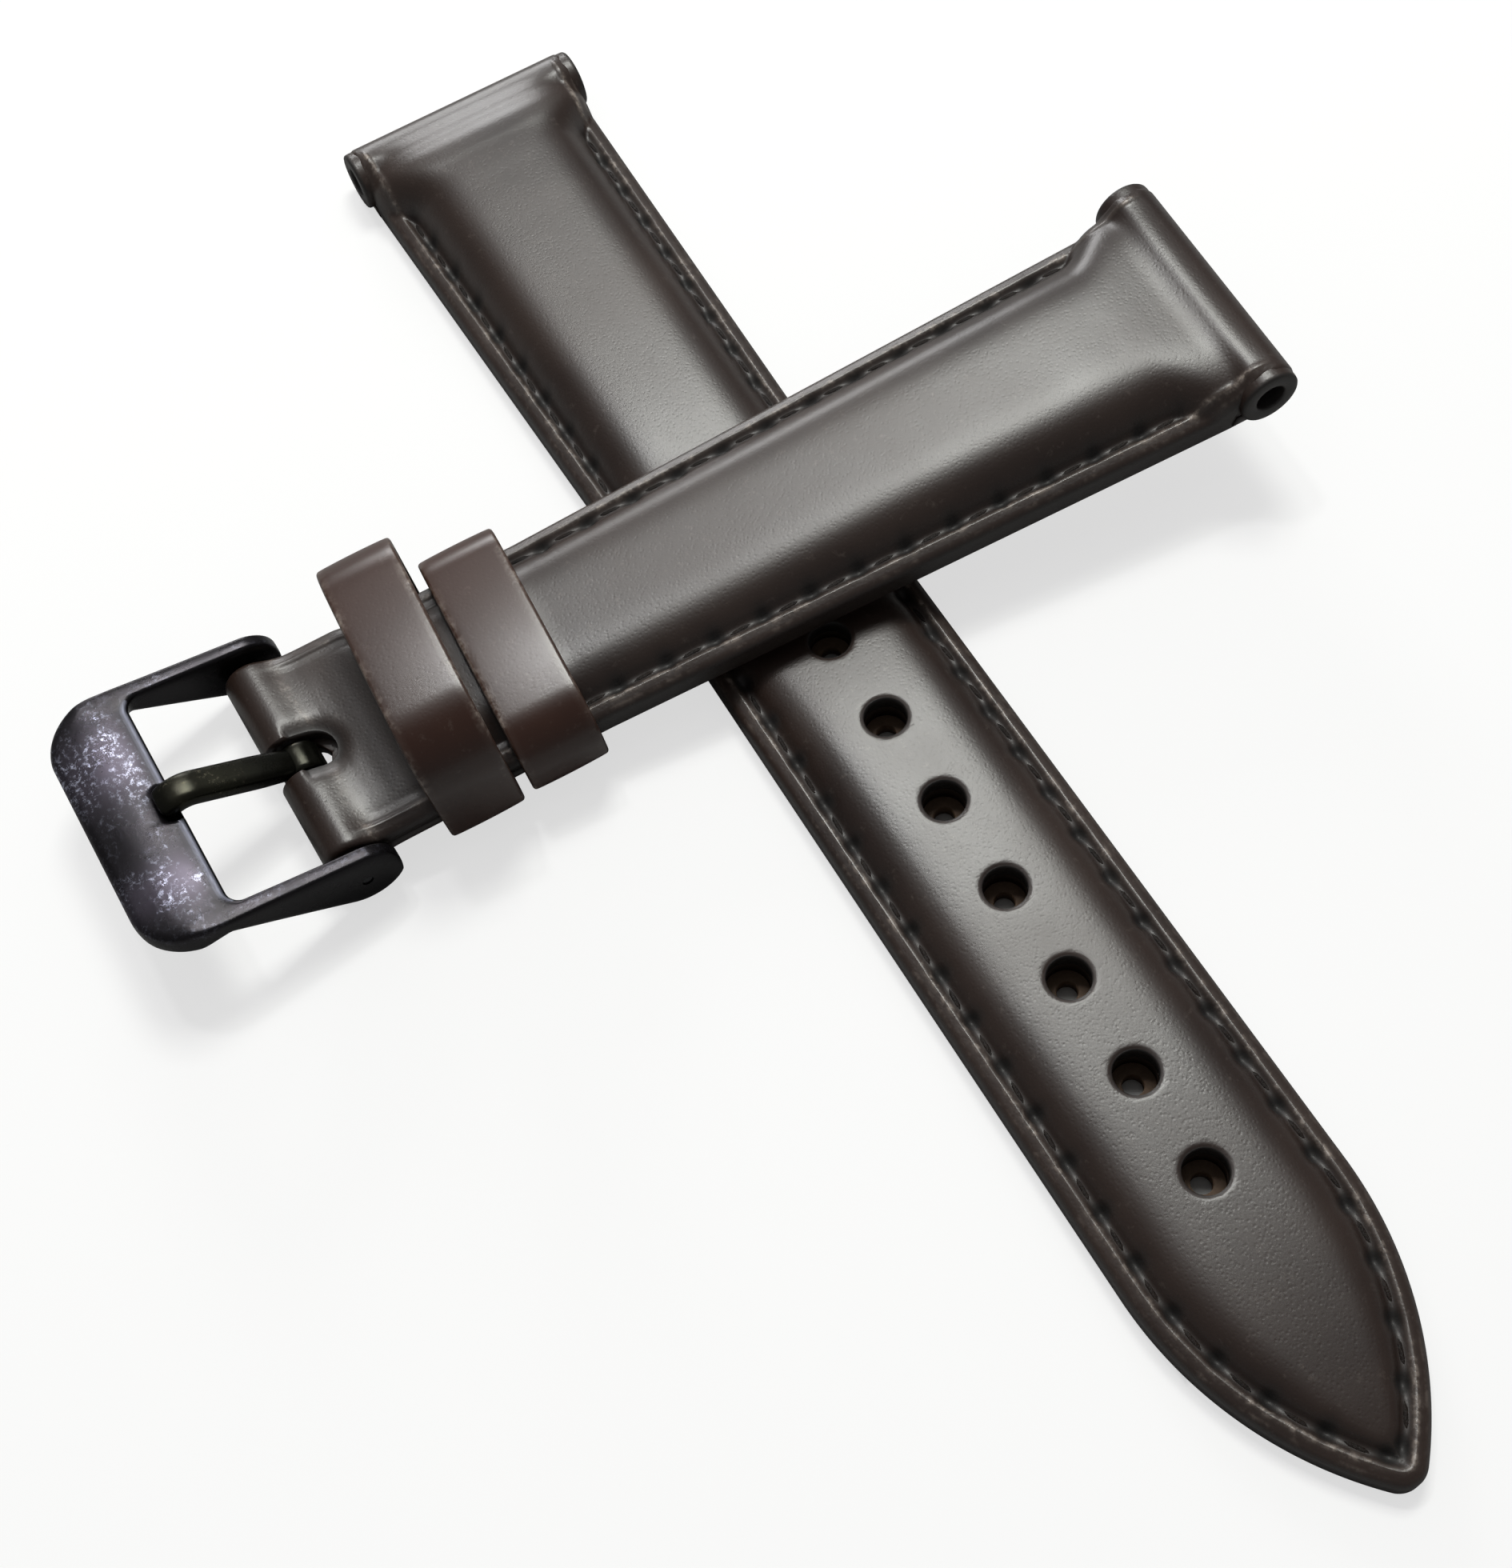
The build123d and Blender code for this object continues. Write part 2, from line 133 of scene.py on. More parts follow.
# Meshes
def gridQuads(index, closed=False):
    # quads between neighbouring rows and columns of an index grid, the columns closed if asked
    if closed:
        index = np.concatenate([index, index[:, :1]], axis=1)
    corners = [index[:-1, :-1], index[1:, :-1], index[1:, 1:], index[:-1, 1:]]
    return np.stack(corners, axis=-1).reshape(-1, 4)


def hoop(points):
    # a grid of points closed both ways, as a list of points and its quads
    index = np.arange(points[..., 0].size).reshape(points.shape[:2])
    return points.reshape(-1, 3), gridQuads(joined(index, index[:1]), True)


def rod(points):
    # a grid of points closed across, with a face at either end
    index = np.arange(points[..., 0].size).reshape(points.shape[:2])
    faces = [*gridQuads(index, True), index[0, ::-1], index[-1]]
    return points.reshape(-1, 3), [tuple(int(i) for i in face) for face in faces]


def cleanMesh(mesh):
    # doubles within 0.4 micrometres merged, faces without area dissolved, the rest turned outwards
    work = bmesh.new()
    work.from_mesh(mesh)
    bmesh.ops.remove_doubles(work, verts=work.verts, dist=4e-7)
    bmesh.ops.dissolve_degenerate(work, edges=work.edges, dist=2e-7)
    bmesh.ops.recalc_face_normals(work, faces=work.faces)
    work.to_mesh(mesh)
    work.free()


def smooth(mesh, sharpAngle=None):
    # smooth faces, with sharp edges where they meet at more than the angle
    mesh.polygons.foreach_set("use_smooth", np.ones(len(mesh.polygons), bool))
    if sharpAngle:
        mesh.set_sharp_from_angle(angle=math.radians(sharpAngle))


def addObject(name, data):
    # a new object in the scene, at the origin
    made = bpy.data.objects.new(name, data)
    bpy.context.scene.collection.objects.link(made)
    return made


def makePiece(name, parts, lay, material, body, replaced, sharpAngle=None):
    # parts are (points, faces, masks): joined, laid in place, and cleaned
    points, faces, masks, start = [], [], {"rim": [], "pit": []}, 0
    for partPoints, partFaces, partMasks in parts:
        points.append(partPoints)
        faces += [tuple(int(i) + start for i in face) for face in partFaces]
        for key, values in masks.items():
            values.append(np.broadcast_to(partMasks.get(key, 0.0), len(partPoints)))
        start += len(partPoints)
    mesh = bpy.data.meshes.new(name)
    mesh.from_pydata(laid(np.concatenate(points), lay).tolist(), [], faces)
    for key, values in masks.items():
        layer = mesh.attributes.new(key, "FLOAT", "POINT")
        layer.data.foreach_set("value", np.concatenate(values).astype(np.float32))
    cleanMesh(mesh)
    smooth(mesh, sharpAngle)
    mesh.materials.append(material)
    piece = addObject(name, mesh)
    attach(piece, body)
    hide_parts(replaced)
    print(name, "faces", len(mesh.polygons))
    return piece


def halfSlab(upper, lower, slit, capEnd=True):
    # a half of a flat piece: an upper and a lower grid, walls at the last column, at the first
    # column beside a slit, and at the two ends
    rows, cols = upper.shape[:2]
    top = np.arange(rows * cols).reshape(rows, cols)
    low = top + rows * cols
    opened = (slit[:-1] > 0) | (slit[1:] > 0)
    sides = [gridQuads(top), gridQuads(low)[:, ::-1],
             gridQuads(pointsAt(top[:, -1], low[:, -1])),
             gridQuads(pointsAt(low[:, 0], top[:, 0]))[opened],
             gridQuads(np.stack([low[0], top[0]], axis=0))]
    if capEnd:
        sides.append(gridQuads(np.stack([top[-1], low[-1]], axis=0)))
    return joined(upper.reshape(-1, 3), lower.reshape(-1, 3)), np.concatenate(sides)


def bothHalves(upper, lower, maskUpper, maskLower, slit, shear=0.0, capEnd=True):
    # a half slab and its mirror image in the piece's middle plane, both slanted by the shear
    masks = {k: joined(maskUpper[k].ravel(), maskLower[k].ravel()) for k in maskUpper}
    parts = []
    for side in (1, -1):
        grids = [grid * (1, side, 1) for grid in (upper, lower)]
        for grid in grids:
            grid[..., 0] -= grid[..., 1] * shear
        points, faces = halfSlab(*grids, slit, capEnd)
        parts.append((points, faces[:, ::side], masks))
    return parts


# Shader helpers
# each finds its node tree from a socket, a node or a tree that it is given
def feed(socket, value):
    # a number or a colour is set on the socket, anything else is linked to it
    if isinstance(value, (int, float)):
        socket.default_value = value
    elif isinstance(value, tuple):
        socket.default_value = (*value, 1)
    else:
        socket.id_data.links.new(value, socket)


def node(near, kind, **settings):
    # a new node in the same tree, its settings given to its sockets or else to itself
    made = near.id_data.nodes.new(kind)
    for key, value in settings.items():
        if key in made.inputs:
            made.inputs[key].default_value = value
        else:
            setattr(made, key, value)
    return made


def mathNode(operation, *values, clamp=False):
    # one sum, the first value an output and the others outputs or numbers
    made = node(values[0], "ShaderNodeMath", operation=operation, use_clamp=clamp)
    for socket, value in zip(made.inputs, values):
        feed(socket, value)
    return made.outputs[0]


def times(a, b, clamp=False):
    # a times b
    return mathNode("MULTIPLY", a, b, clamp=clamp)


def plus(a, b, clamp=False):
    # a plus b
    return mathNode("ADD", a, b, clamp=clamp)


def mixColours(share, a, b):
    # the share of b, and of a what is left
    made = node(share, "ShaderNodeMix", data_type="RGBA", blend_type="MIX")
    for i, value in ((0, share), (6, a), (7, b)):
        feed(made.inputs[i], value)
    return made.outputs[2]


def remap(value, low, high, to0=0.0, to1=1.0):
    # low becomes to0, high becomes to1, in a straight line and no further
    made = node(value, "ShaderNodeMapRange")
    for socket, number in zip(made.inputs, (value, low, high, to0, to1)):
        feed(socket, number)
    return made.outputs[0]


def noise(vector, scale, detail=3.0, roughness=0.5):
    # smooth noise between 0 and 1, scale waves to the metre
    made = node(vector, "ShaderNodeTexNoise", Scale=scale, Detail=detail, Roughness=roughness)
    feed(made.inputs["Vector"], vector)
    return made.outputs["Fac"]


def newGroup(name, numbers, results):
    # a node group with a vector and some numbers going in, and some numbers coming out
    group = bpy.data.node_groups.new(name, "ShaderNodeTree")
    group.interface.new_socket("Vector", in_out="INPUT", socket_type="NodeSocketVector")
    for side, labels in (("INPUT", numbers), ("OUTPUT", results)):
        for label in labels:
            group.interface.new_socket(label, in_out=side, socket_type="NodeSocketFloat")
    return group, node(group, "NodeGroupInput").outputs, node(group, "NodeGroupOutput").inputs


def placeGroup(group, vector, **values):
    # the group as a node, its inputs fed
    made = node(vector, "ShaderNodeGroup", node_tree=group)
    for key, value in {"Vector": vector, **values}.items():
        feed(made.inputs[key], value)
    return made.outputs


def grainGroup():
    # height: cells 0.6 and fine noise 0.5, as pores, plus a slow unevenness of the glaze
    group, given, out = newGroup("leatherGrain", ("Pore", "Waviness"), ("Height", "Cloud", "Speck"))
    vector = given["Vector"]
    cells = node(group, "ShaderNodeTexVoronoi", Scale=3600.0)
    feed(cells.inputs["Vector"], vector)
    pores = remap(cells.outputs["Distance"], 0.0, 0.45)
    fine, slow = noise(vector, 6500.0, 2.0), noise(vector, 240.0, 3.0)
    grain = times(plus(times(pores, 0.6), times(fine, 0.5)), given["Pore"])
    feed(out["Height"], plus(grain, times(slow, given["Waviness"])))
    feed(out["Cloud"], noise(vector, 75.0, 4.0, 0.55))
    feed(out["Speck"], remap(noise(vector, 1500.0, 4.0, 0.7), 0.60, 0.78))
    return group


def rubAndHighlightGroup():
    # the rim mask broken up into short rubs by two noises: pale wear that is partly a painted
    # highlight on the ridges and edges
    group, given, out = newGroup("edgeRubAndHighlight", ("Mask", "Amount"), ("Rub",))
    broken = remap(noise(given["Vector"], 420.0, 4.0, 0.65), 0.42, 0.62)
    scratch = remap(noise(given["Vector"], 1900.0, 3.0, 0.6), 0.40, 0.62)
    rub = times(mathNode("MAXIMUM", times(broken, scratch), 0.10), given["Mask"])
    feed(out["Rub"], times(rub, given["Amount"], True))
    return group


leatherGrain = grainGroup()
edgeRubAndHighlight = rubAndHighlightGroup()


def startMaterial(name):
    # a new material with its shader and the object's own coordinates
    material = bpy.data.materials.new(name)
    material.use_nodes = True
    vector = node(material.node_tree, "ShaderNodeTexCoord").outputs["Object"]
    return material, material.node_tree.nodes["Principled BSDF"], vector


def maskValue(near, name):
    # the value that the mesh carries under that name
    return node(near, "ShaderNodeAttribute", attribute_name=name).outputs["Fac"]


def feedAll(shader, inputs):
    # a shader's inputs fed by name
    for label, value in inputs.items():
        feed(shader.inputs[label], value)


def dress(shader, inputs, height, strength, depth=0.0002):
    # the shader's inputs fed, and its normal bumped by a height
    bump = node(shader, "ShaderNodeBump", Strength=strength, Distance=depth)
    feed(bump.inputs["Height"], height)
    feedAll(shader, {**inputs, "Normal": bump.outputs["Normal"]})


leatherLook = {
    "dark": (0.0170, 0.0085, 0.0060),
    "light": (0.0300, 0.0165, 0.0118),
    # pale rubs, partly painted highlights on the ridges and edges
    "rubAndHighlight": (0.46, 0.39, 0.34),
    # near black laid on by the pit mask: painted shade in the holes, the slot, the groove and the stitch pits
    "pit": (0.0035, 0.0020, 0.0015),
    "roughness": (0.34, 0.42),
    "pore": 0.36,
    "waviness": 0.3,
    "coat": 0.12,
    "rub": 0.85,
}
keeperLook = dict(leatherLook, dark=(0.0270, 0.0080, 0.0036), light=(0.0430, 0.0140, 0.0070),
                  roughness=(0.29, 0.34), pore=0.14, waviness=0.10, coat=0.05, rub=0.5)


def glazedLeather(name, look):
    # dark and light mixed by clouds, then specks, pale rubs and the pit mask's near black over them:
    # the rubs are partly painted highlights on ridges and edges, and the near black is painted shade
    # in the holes, the slot, the groove and the stitch pits
    material, shader, vector = startMaterial(name)
    grain = placeGroup(leatherGrain, vector, Pore=look["pore"], Waviness=look["waviness"])
    rub = placeGroup(edgeRubAndHighlight, vector, Mask=maskValue(vector, "rim"), Amount=look["rub"])["Rub"]
    pit = maskValue(vector, "pit")
    colour = mixColours(remap(grain["Cloud"], 0.35, 0.65), look["dark"], look["light"])
    for share, kind in ((times(grain["Speck"], 0.10), "rubAndHighlight"), (rub, "rubAndHighlight"), (pit, "pit")):
        colour = mixColours(share, colour, look[kind])
    rough = plus(remap(grain["Cloud"], 0.3, 0.7, *look["roughness"]), times(pit, 0.3), True)
    inputs = {"Base Color": colour, "Roughness": rough, "IOR": 1.6, "Coat Weight": look["coat"],
              "Coat Roughness": 0.3}
    dress(shader, inputs, plus(grain["Height"], times(rub, 1.2)), 0.15)
    return material


def plainFibre(name, dark, light, roughness, scale, strength=0.25):
    # lining, filler and thread: soft fibres from noise, no gloss
    material, shader, vector = startMaterial(name)
    fibres, patches = noise(vector, scale, 5.0, 0.65), noise(vector, scale / 14, 3.0)
    share = remap(plus(times(fibres, 0.6), times(patches, 0.4)), 0.38, 0.62)
    rough = remap(fibres, 0.3, 0.7, roughness - 0.08, roughness + 0.08)
    inputs = {"Base Color": mixColours(share, dark, light), "Roughness": rough,
              "Specular IOR Level": 0.22}
    dress(shader, inputs, fibres, strength)
    return material


def blackPlate(name, plate, haze, worn, roughness, lowest):
    # black plating: a haze and fine bright flecks where the rim mask and the noises meet, which is
    # the front bar's top with its wear, and painted highlights on the arms' tops and the tongue, and a
    # bright line of painted highlight where the pit mask is
    material, shader, vector = startMaterial(name)
    mottled, patches = noise(vector, 2600.0, 7.0, 0.8), noise(vector, 520.0, 4.0, 0.6)
    rim, pit = maskValue(vector, "rim"), maskValue(vector, "pit")
    flecks = times(remap(mottled, lowest, lowest + 0.12), times(rim, remap(patches, 0.40, 0.58)), True)
    share = mathNode("MAXIMUM", flecks, pit)
    colour = mixColours(share, mixColours(times(rim, 0.7, True), plate, haze), worn)
    smear = remap(noise(vector, 320.0, 4.0, 0.6), 0.3, 0.7, roughness - 0.07, roughness + 0.1)
    inputs = {"Base Color": colour, "Roughness": plus(smear, times(share, 0.12)), "Metallic": 0.85}
    dress(shader, inputs, mottled, 0.12)
    return material


def drawnSteel(name, colour, roughness):
    # steel between three quarters of its colour and the whole, by fine noise
    material, shader, vector = startMaterial(name)
    lines = noise(vector, 2600.0, 4.0, 0.6)
    mixed = mixColours(remap(lines, 0.3, 0.7), tuple(c * 0.75 for c in colour), colour)
    rough = remap(lines, 0.3, 0.7, roughness - 0.06, roughness + 0.08)
    dress(shader, {"Base Color": mixed, "Roughness": rough, "Metallic": 1.0}, lines, 0.06, 0.0001)
    return material


topLeather = glazedLeather("topLeather", leatherLook)
keeperLeather = glazedLeather("keeperLeather", keeperLook)
liningLeather = plainFibre("liningLeather", (0.075, 0.045, 0.028), (0.12, 0.078, 0.05), 0.62, 1500.0)
keeperLining = plainFibre("keeperLining", (0.035, 0.02, 0.013), (0.06, 0.036, 0.024), 0.6, 1600.0)
filler = plainFibre("filler", (0.020, 0.012, 0.008), (0.042, 0.027, 0.019), 0.85, 900.0)
threadWax = plainFibre("threadWax", (0.0045, 0.0028, 0.0022), (0.016, 0.0100, 0.0078), 0.55, 4200.0,
                       0.5)
bucklePlate = blackPlate("bucklePlate", (0.022, 0.0205, 0.0225), (0.085, 0.074, 0.098),
                         (0.60, 0.62, 0.78), 0.25, 0.52)
tonguePlate = blackPlate("tonguePlate", (0.016, 0.016, 0.0125), (0.036, 0.035, 0.024),
                         (0.24, 0.22, 0.16), 0.22, 0.56)
barSteel = drawnSteel("barSteel", (0.14, 0.14, 0.145), 0.34)
springSteel = drawnSteel("springSteel", (0.5, 0.5, 0.5), 0.3)
pinSteel = drawnSteel("pinSteel", (0.075, 0.075, 0.08), 0.42)
print("materials made")


# Strap pieces: shared sizes
leather = {
    "rimHeight": 2.0,  # cover and lining together
    "rimRound": 0.5,
    "cover": 1.1,
    "lining": 0.9,
    "turnedEdge": 0.8,
    "leastCover": 0.25,  # the cover is nowhere thinner
    "stitchInset": 1.4,
    "stitchPitch": 3.3,
    "stitchLength": 2.5,
    "firstStitch": 5.2,
    "grooveDepth": 0.20,
    "grooveWidth": 0.38,
    "pitDepth": 0.34,
    "pitSize": (0.46, 0.42),  # along the stitch line and across it
    "pitShift": 0.16,  # inwards from the stitch line
    "slump": (0.14, 0.45),  # how the outer edge sinks: depth and width
    "ridge": 0.88,  # middle of the rounded ridge outside the stitches, from the outline
    "ridgeSwell": (0.11, 0.20),  # its height and width
    "ridgeRubAndHighlight": (0.95, 0.17),  # how much it is rubbed and painted with a highlight, and the width of that
    "outerRubAndHighlight": (0.20, 0.30, 0.10),  # how much, from the outline, and width
    "liningRound": 0.12,
    "liningGroove": (0.2, 0.28),  # depth and width
    "padInset": 1.70,  # the crown's margin
    "padEdge": 2.05,  # the filler stops here, from the outline
    "lugInset": (-0.6, 2.2, 6.2),  # at the lug, and where its change to the margin starts and ends
    "crownPower": 5.4,  # how flat the crown's middle is
    "ramp": (0.5, 3.4),  # from the loop's top down to the rim
    "rampHeight": 2.2,
    "bodyHalf": 8.6,
    "flapTop": 1.1,  # top of the flap under the lug, where it has left the loop
    "loopLeaves": 1.3,  # how far from the bore the flap leaves the loop
}
# distances from the outline of the outer columns, edge first, and shares of the rest
edgeSteps = np.array([0, .012, .05, .11, .2, .32, .46, .62, .79, .81, .95, 1.08, 1.2, 1.3, 1.4, 1.5,
                      1.6, 1.72, 1.88, 2.08, 2.4, 2.85, 3.4])
innerSteps = np.array([1, .975, .93, .87, .78, .67, .54, .4, .26, .12])


def taper(x, spec):
    # half width, falling evenly from the lug's to the narrow end's
    share = np.clip(x / spec["taperX"], 0, 1)
    return leather["bodyHalf"] + (spec["endHalf"] - leather["bodyHalf"]) * share


def columnDistances(reach, slit):
    # distance from the outline of every column, middle first: the inner ones share what is left
    # between the last outer column and the slit, the outer ones are fixed but never pass the middle
    reach, slit = np.asarray(reach, float)[:, None], np.asarray(slit, float)[:, None]
    inner = edgeSteps[-1] + (reach - slit - edgeSteps[-1]) * innerSteps[None, :]
    inner = np.minimum(np.maximum(inner, 0), reach)
    inner = np.where(reach < edgeSteps[-1], reach, inner)
    outer = np.minimum(edgeSteps[::-1][None, :], reach)
    return np.concatenate([inner, outer], axis=1)


def stitchPits(rail, d):
    # one pit in each gap between two stitches, a bell across and along the line
    pitch = leather["stitchPitch"]
    along = np.mod(rail, pitch) - (pitch + leather["stitchLength"]) / 2
    along = (along + pitch / 2) % pitch - pitch / 2
    length, width = leather["pitSize"]
    return bell(along, length) * bell(d - leather["stitchInset"] - leather["pitShift"], width)


def loopRows(angles, d, half, radius, inner, centre):
    # rows round a lug loop or fold: a radius that falls away at the rounded edge, turned by each
    # angle, and the inner radius beneath it
    turn = np.radians(angles)[:, None]
    radii = (radius - rounding(d, leather["rimRound"]), inner + 0 * d)
    x, z = centre
    return [pointsAt(x + r * np.cos(turn), half - d, z + r * np.sin(turn)) for r in radii]


def boreRise(x):
    # height of the loop's inner circle over the bore's middle at a distance x from it
    return np.sqrt(np.clip(strapLay["loopInner"] ** 2 - x**2, 0, None))


def lugStart(flapEnd):
    # the flap under the lug, its end cut slanting, and the loop round the bore, up to the loop's top
    radius, half = strapLay["loopRadius"], leather["bodyHalf"]
    d = columnDistances([half], [0])[0][None, :]
    x = np.array([flapEnd, 2.0, 1.6, 1.2, 0.8, 0.4])[:, None]
    inside = np.where(x < leather["loopLeaves"], radius - boreRise(x), leather["flapTop"])
    up = pointsAt(x, half - d, rounding(d, leather["rimRound"]))
    low = pointsAt(np.minimum(x, flapEnd - 0.25), half - d, inside)
    angles = np.linspace(270, 90, 22)[:-2]
    roundUp, roundLow = loopRows(angles, d, half, radius, strapLay["loopInner"], (0.0, radius))
    return joined(up, roundUp), joined(low, roundLow)


def crownInset(x):
    # how far the crown stays inside the outline: past it at the lug, then the stitched margin
    atLug, start, end = leather["lugInset"]
    return atLug + (leather["padInset"] - atLug) * ease(start, end, x)


def topHeights(x, y, d, crownHalf, crownHeight, rail):
    # rim, then groove with its pits, then the crown: height times one minus a power of y over the
    # crown's half width; towards the lug a ramp lifts the whole width to the loop's top
    pad = np.clip(np.abs(y) / np.maximum(crownHalf, 0.02), 0, 1)
    crown = crownHeight * (1 - pad ** leather["crownPower"])
    ramp = leather["rampHeight"] * (1 - ease(*leather["ramp"], x))
    lift = (crown**8 + ramp**8) ** 0.125  # the higher of the two, with a soft change
    depth, width = leather["slump"]
    rim = leather["rimHeight"] - rounding(d, leather["rimRound"]) - depth * bell(d, width)
    sewnAlong = rail - leather["firstStitch"]
    stitched = ease(-0.4, 0.5, sewnAlong)
    groove = bell(d - leather["stitchInset"], leather["grooveWidth"]) * stitched
    pits = stitchPits(sewnAlong, d) * stitched
    height, width = leather["ridgeSwell"]
    swell = height * bell(d - leather["ridge"], width)
    z = rim + lift + swell - leather["grooveDepth"] * groove - leather["pitDepth"] * pits
    # the second value is the pit mask: painted shade in the groove and the stitch pits, and darker at the very
    # edge
    return z, np.clip(0.5 * groove + 1.5 * pits + 0.5 * bell(d, 0.1), 0, 1)


def undersideHeights(x, d, top, flapEnd=2.33):
    # at the edge the turned-over rim comes down to the wrist side, then a step up to the pocket
    # that holds the lining, and over it the hollow for the filler
    pocket = leather["lining"] + 0.02
    hollow = np.maximum(pocket, top - leather["cover"] - 0.02)
    hollow = np.where(d > leather["padEdge"], hollow, pocket)
    under = np.where(d < leather["turnedEdge"], rounding(d, 0.3), hollow)
    loopTop = strapLay["loopRadius"] + boreRise(x)
    nearLoop = np.where(x < leather["loopLeaves"], loopTop, leather["flapTop"] + 0.05)
    return np.where(x < flapEnd, nearLoop, under)


def rubAndHighlightMask(d):
    # rubbed pale along the ridge outside the stitches, and a little on the outer edge: wear that is
    # partly a painted highlight on the ridge and the edge
    much, wide = leather["ridgeRubAndHighlight"]
    less, place, narrow = leather["outerRubAndHighlight"]
    return np.clip(much * bell(d - leather["ridge"], wide) + less * bell(d - place, narrow), 0, 1)


def lugTube():
    # the loop's inner roll: a thick tube across the lug, its ends rounded, standing out at both sides
    end = [(1.0, 8.85), (1.03, 8.95), (1.12, 9.0), (1.8, 9.0), (1.93, 8.96), (2.0, 8.87), (2.02, 8.7)]
    outline = np.array(end + [(2.02, 0.0)] + [(r, -y) for r, y in end[::-1]] + [(1.0, 0.0)])
    turn = fullTurn(48)[:, None]
    r, y = outline.T[:, None, :]
    points, quads = hoop(pointsAt(r * np.cos(turn), y, strapLay["loopRadius"] + r * np.sin(turn)))
    # the tube's ends are darkened through the pit mask
    return points, quads, {"pit": np.tile(0.75 * (np.abs(outline[:, 1]) > 8.8), len(turn))}


def strapPiece(spec, kind, replaced, parts, material):
    # a part of the long or the short piece, named after it
    name, replaced = f"{spec['name']}_{kind}", f"{spec['name']}_{replaced}"
    return makePiece(name, parts, spec["lay"], material, spec["body"], replaced)


def topSkin(spec, parts):
    # the top leather with its lug tube
    strapPiece(spec, "top_leather_skin", "top_leather", parts + [lugTube()], topLeather)


def slab(x, y, low, up, reach, slit, capEnd):
    # between two heights, as wide as the columns that lie further in than the reach
    cols = np.where(edgeSteps[::-1] >= reach)[0].max() + 1 + len(innerSteps)
    low, up = (pointsAt(x, y, z)[:, :cols] for z in (low, up))
    return bothHalves(up, low, {}, {}, slit, capEnd=capEnd)


def makePadding(spec, x, y, top, slit, capEnd):
    # filler between the lining's top and the cover's hollow
    foot, least = spec["filler"]
    hollow = np.maximum(least, top - leather["cover"] - 0.06)
    parts = slab(x, y, foot, hollow, leather["padEdge"], slit, capEnd)
    strip = strapPiece(spec, "padding_filler", "padding", parts, filler)


def makeLining(spec, x, y, d, slit, capEnd):
    # a sheet inside the turned rim, rounded at its edge and grooved under the stitches
    edge = leather["turnedEdge"] + 0.01
    depth, width = leather["liningGroove"]
    fall = rounding(np.clip(d - edge, 0, None), leather["liningRound"])
    fall = fall + depth * bell(d - leather["stitchInset"], width)
    parts = slab(x, y, fall, leather["lining"], edge, slit, capEnd)
    strapPiece(spec, "lining_sheet", "lining", parts, liningLeather)


# Stitches
stitch = {"width": 0.42, "height": 0.4, "slant": 6.0, "rings": 7, "sides": 8, "dive": 0.34,
          "topSink": 0.32, "underRise": 0.22}


def stitchShape():
    # a thread segment: an oval section that dips and narrows towards both ends
    share = np.linspace(-1, 1, stitch["rings"])[:, None]
    turn = fullTurn(stitch["sides"])[None, :]
    narrowed = np.sqrt(np.clip(1 - 0.75 * share**6, 0.1, 1))
    x = share * leather["stitchLength"] / 2
    y = narrowed * stitch["width"] / 2 * np.cos(turn)
    z = narrowed * stitch["height"] / 2 * np.sin(turn) - stitch["dive"] * np.abs(share) ** 3.2
    return rod(pointsAt(x, y, z))


def sewn(places, height, flip):
    # copies of one stitch, turned to the line's heading plus a slant, at every place on both sides
    points, faces = stitchShape()
    made, allFaces = [], []
    for x, y, heading in places:
        for side in (1, -1):
            a = math.radians((heading + stitch["slant"]) * side)
            turn = [[math.cos(a), math.sin(a), 0], [-math.sin(a), math.cos(a), 0], [0, 0, flip]]
            start = len(made) * len(points)
            made.append(points @ np.array(turn) + (x, side * y, height))
            allFaces += [tuple(k + start for k in face) for face in faces]
    return [(np.concatenate(made), allFaces, {})]


def makeStitches(spec, places):
    # the needle thread sunk in the groove on top, the bobbin thread standing out of the lining
    top = leather["rimHeight"] - stitch["topSink"]
    for kind, height, flip in (("needle", top, 1), ("bobbin", stitch["underRise"], -1)):
        parts = sewn(places, height, flip)
        strapPiece(spec, kind + "_stitches", kind + "_thread", parts, threadWax)


# Long piece
longPiece = {
    "name": "long", "lay": longLay, "body": "long_strap",
    "endHalf": 7.4,
    "taperX": 43.9,
    "tipStart": 94.9,
    "tipLength": 16.6,
    "tipRound": 1.5,
    "holes": 51.7 + 6.7 * np.arange(7),
    "holeRadius": 1.35,
    "liningHole": 0.65,  # the lining closes in a little round each hole
    "holeSink": (0.10, 0.13),  # how the leather sinks at a hole: depth and width
    # painted shade on the holes' walls: how dark, and its width out from the hole's edge
    "holeShade": (0.95, 0.06),
    "filler": (0.93, 0.96),  # foot, and least height of the top
    "crown": ([0, 0.4, 0.8, 1.6, 2.4, 3.1, 3.7, 5, 8, 13, 20, 43.9, 94.9, 112],
              [1.5, 1.95, 2.26, 2.58, 2.77, 2.93, 2.99, 2.99, 2.92, 2.74, 2.46, 1.7, 1.25, 1.2]),
    "sag": (45.2, 8.2, 1.0),  # where the other piece presses it down: middle, width, depth
}
archRadius = (longPiece["tipLength"] ** 2 + longPiece["endHalf"] ** 2) / (2 * longPiece["endHalf"])
archDrop = archRadius - longPiece["endHalf"]
railRadius = archRadius - leather["stitchInset"]


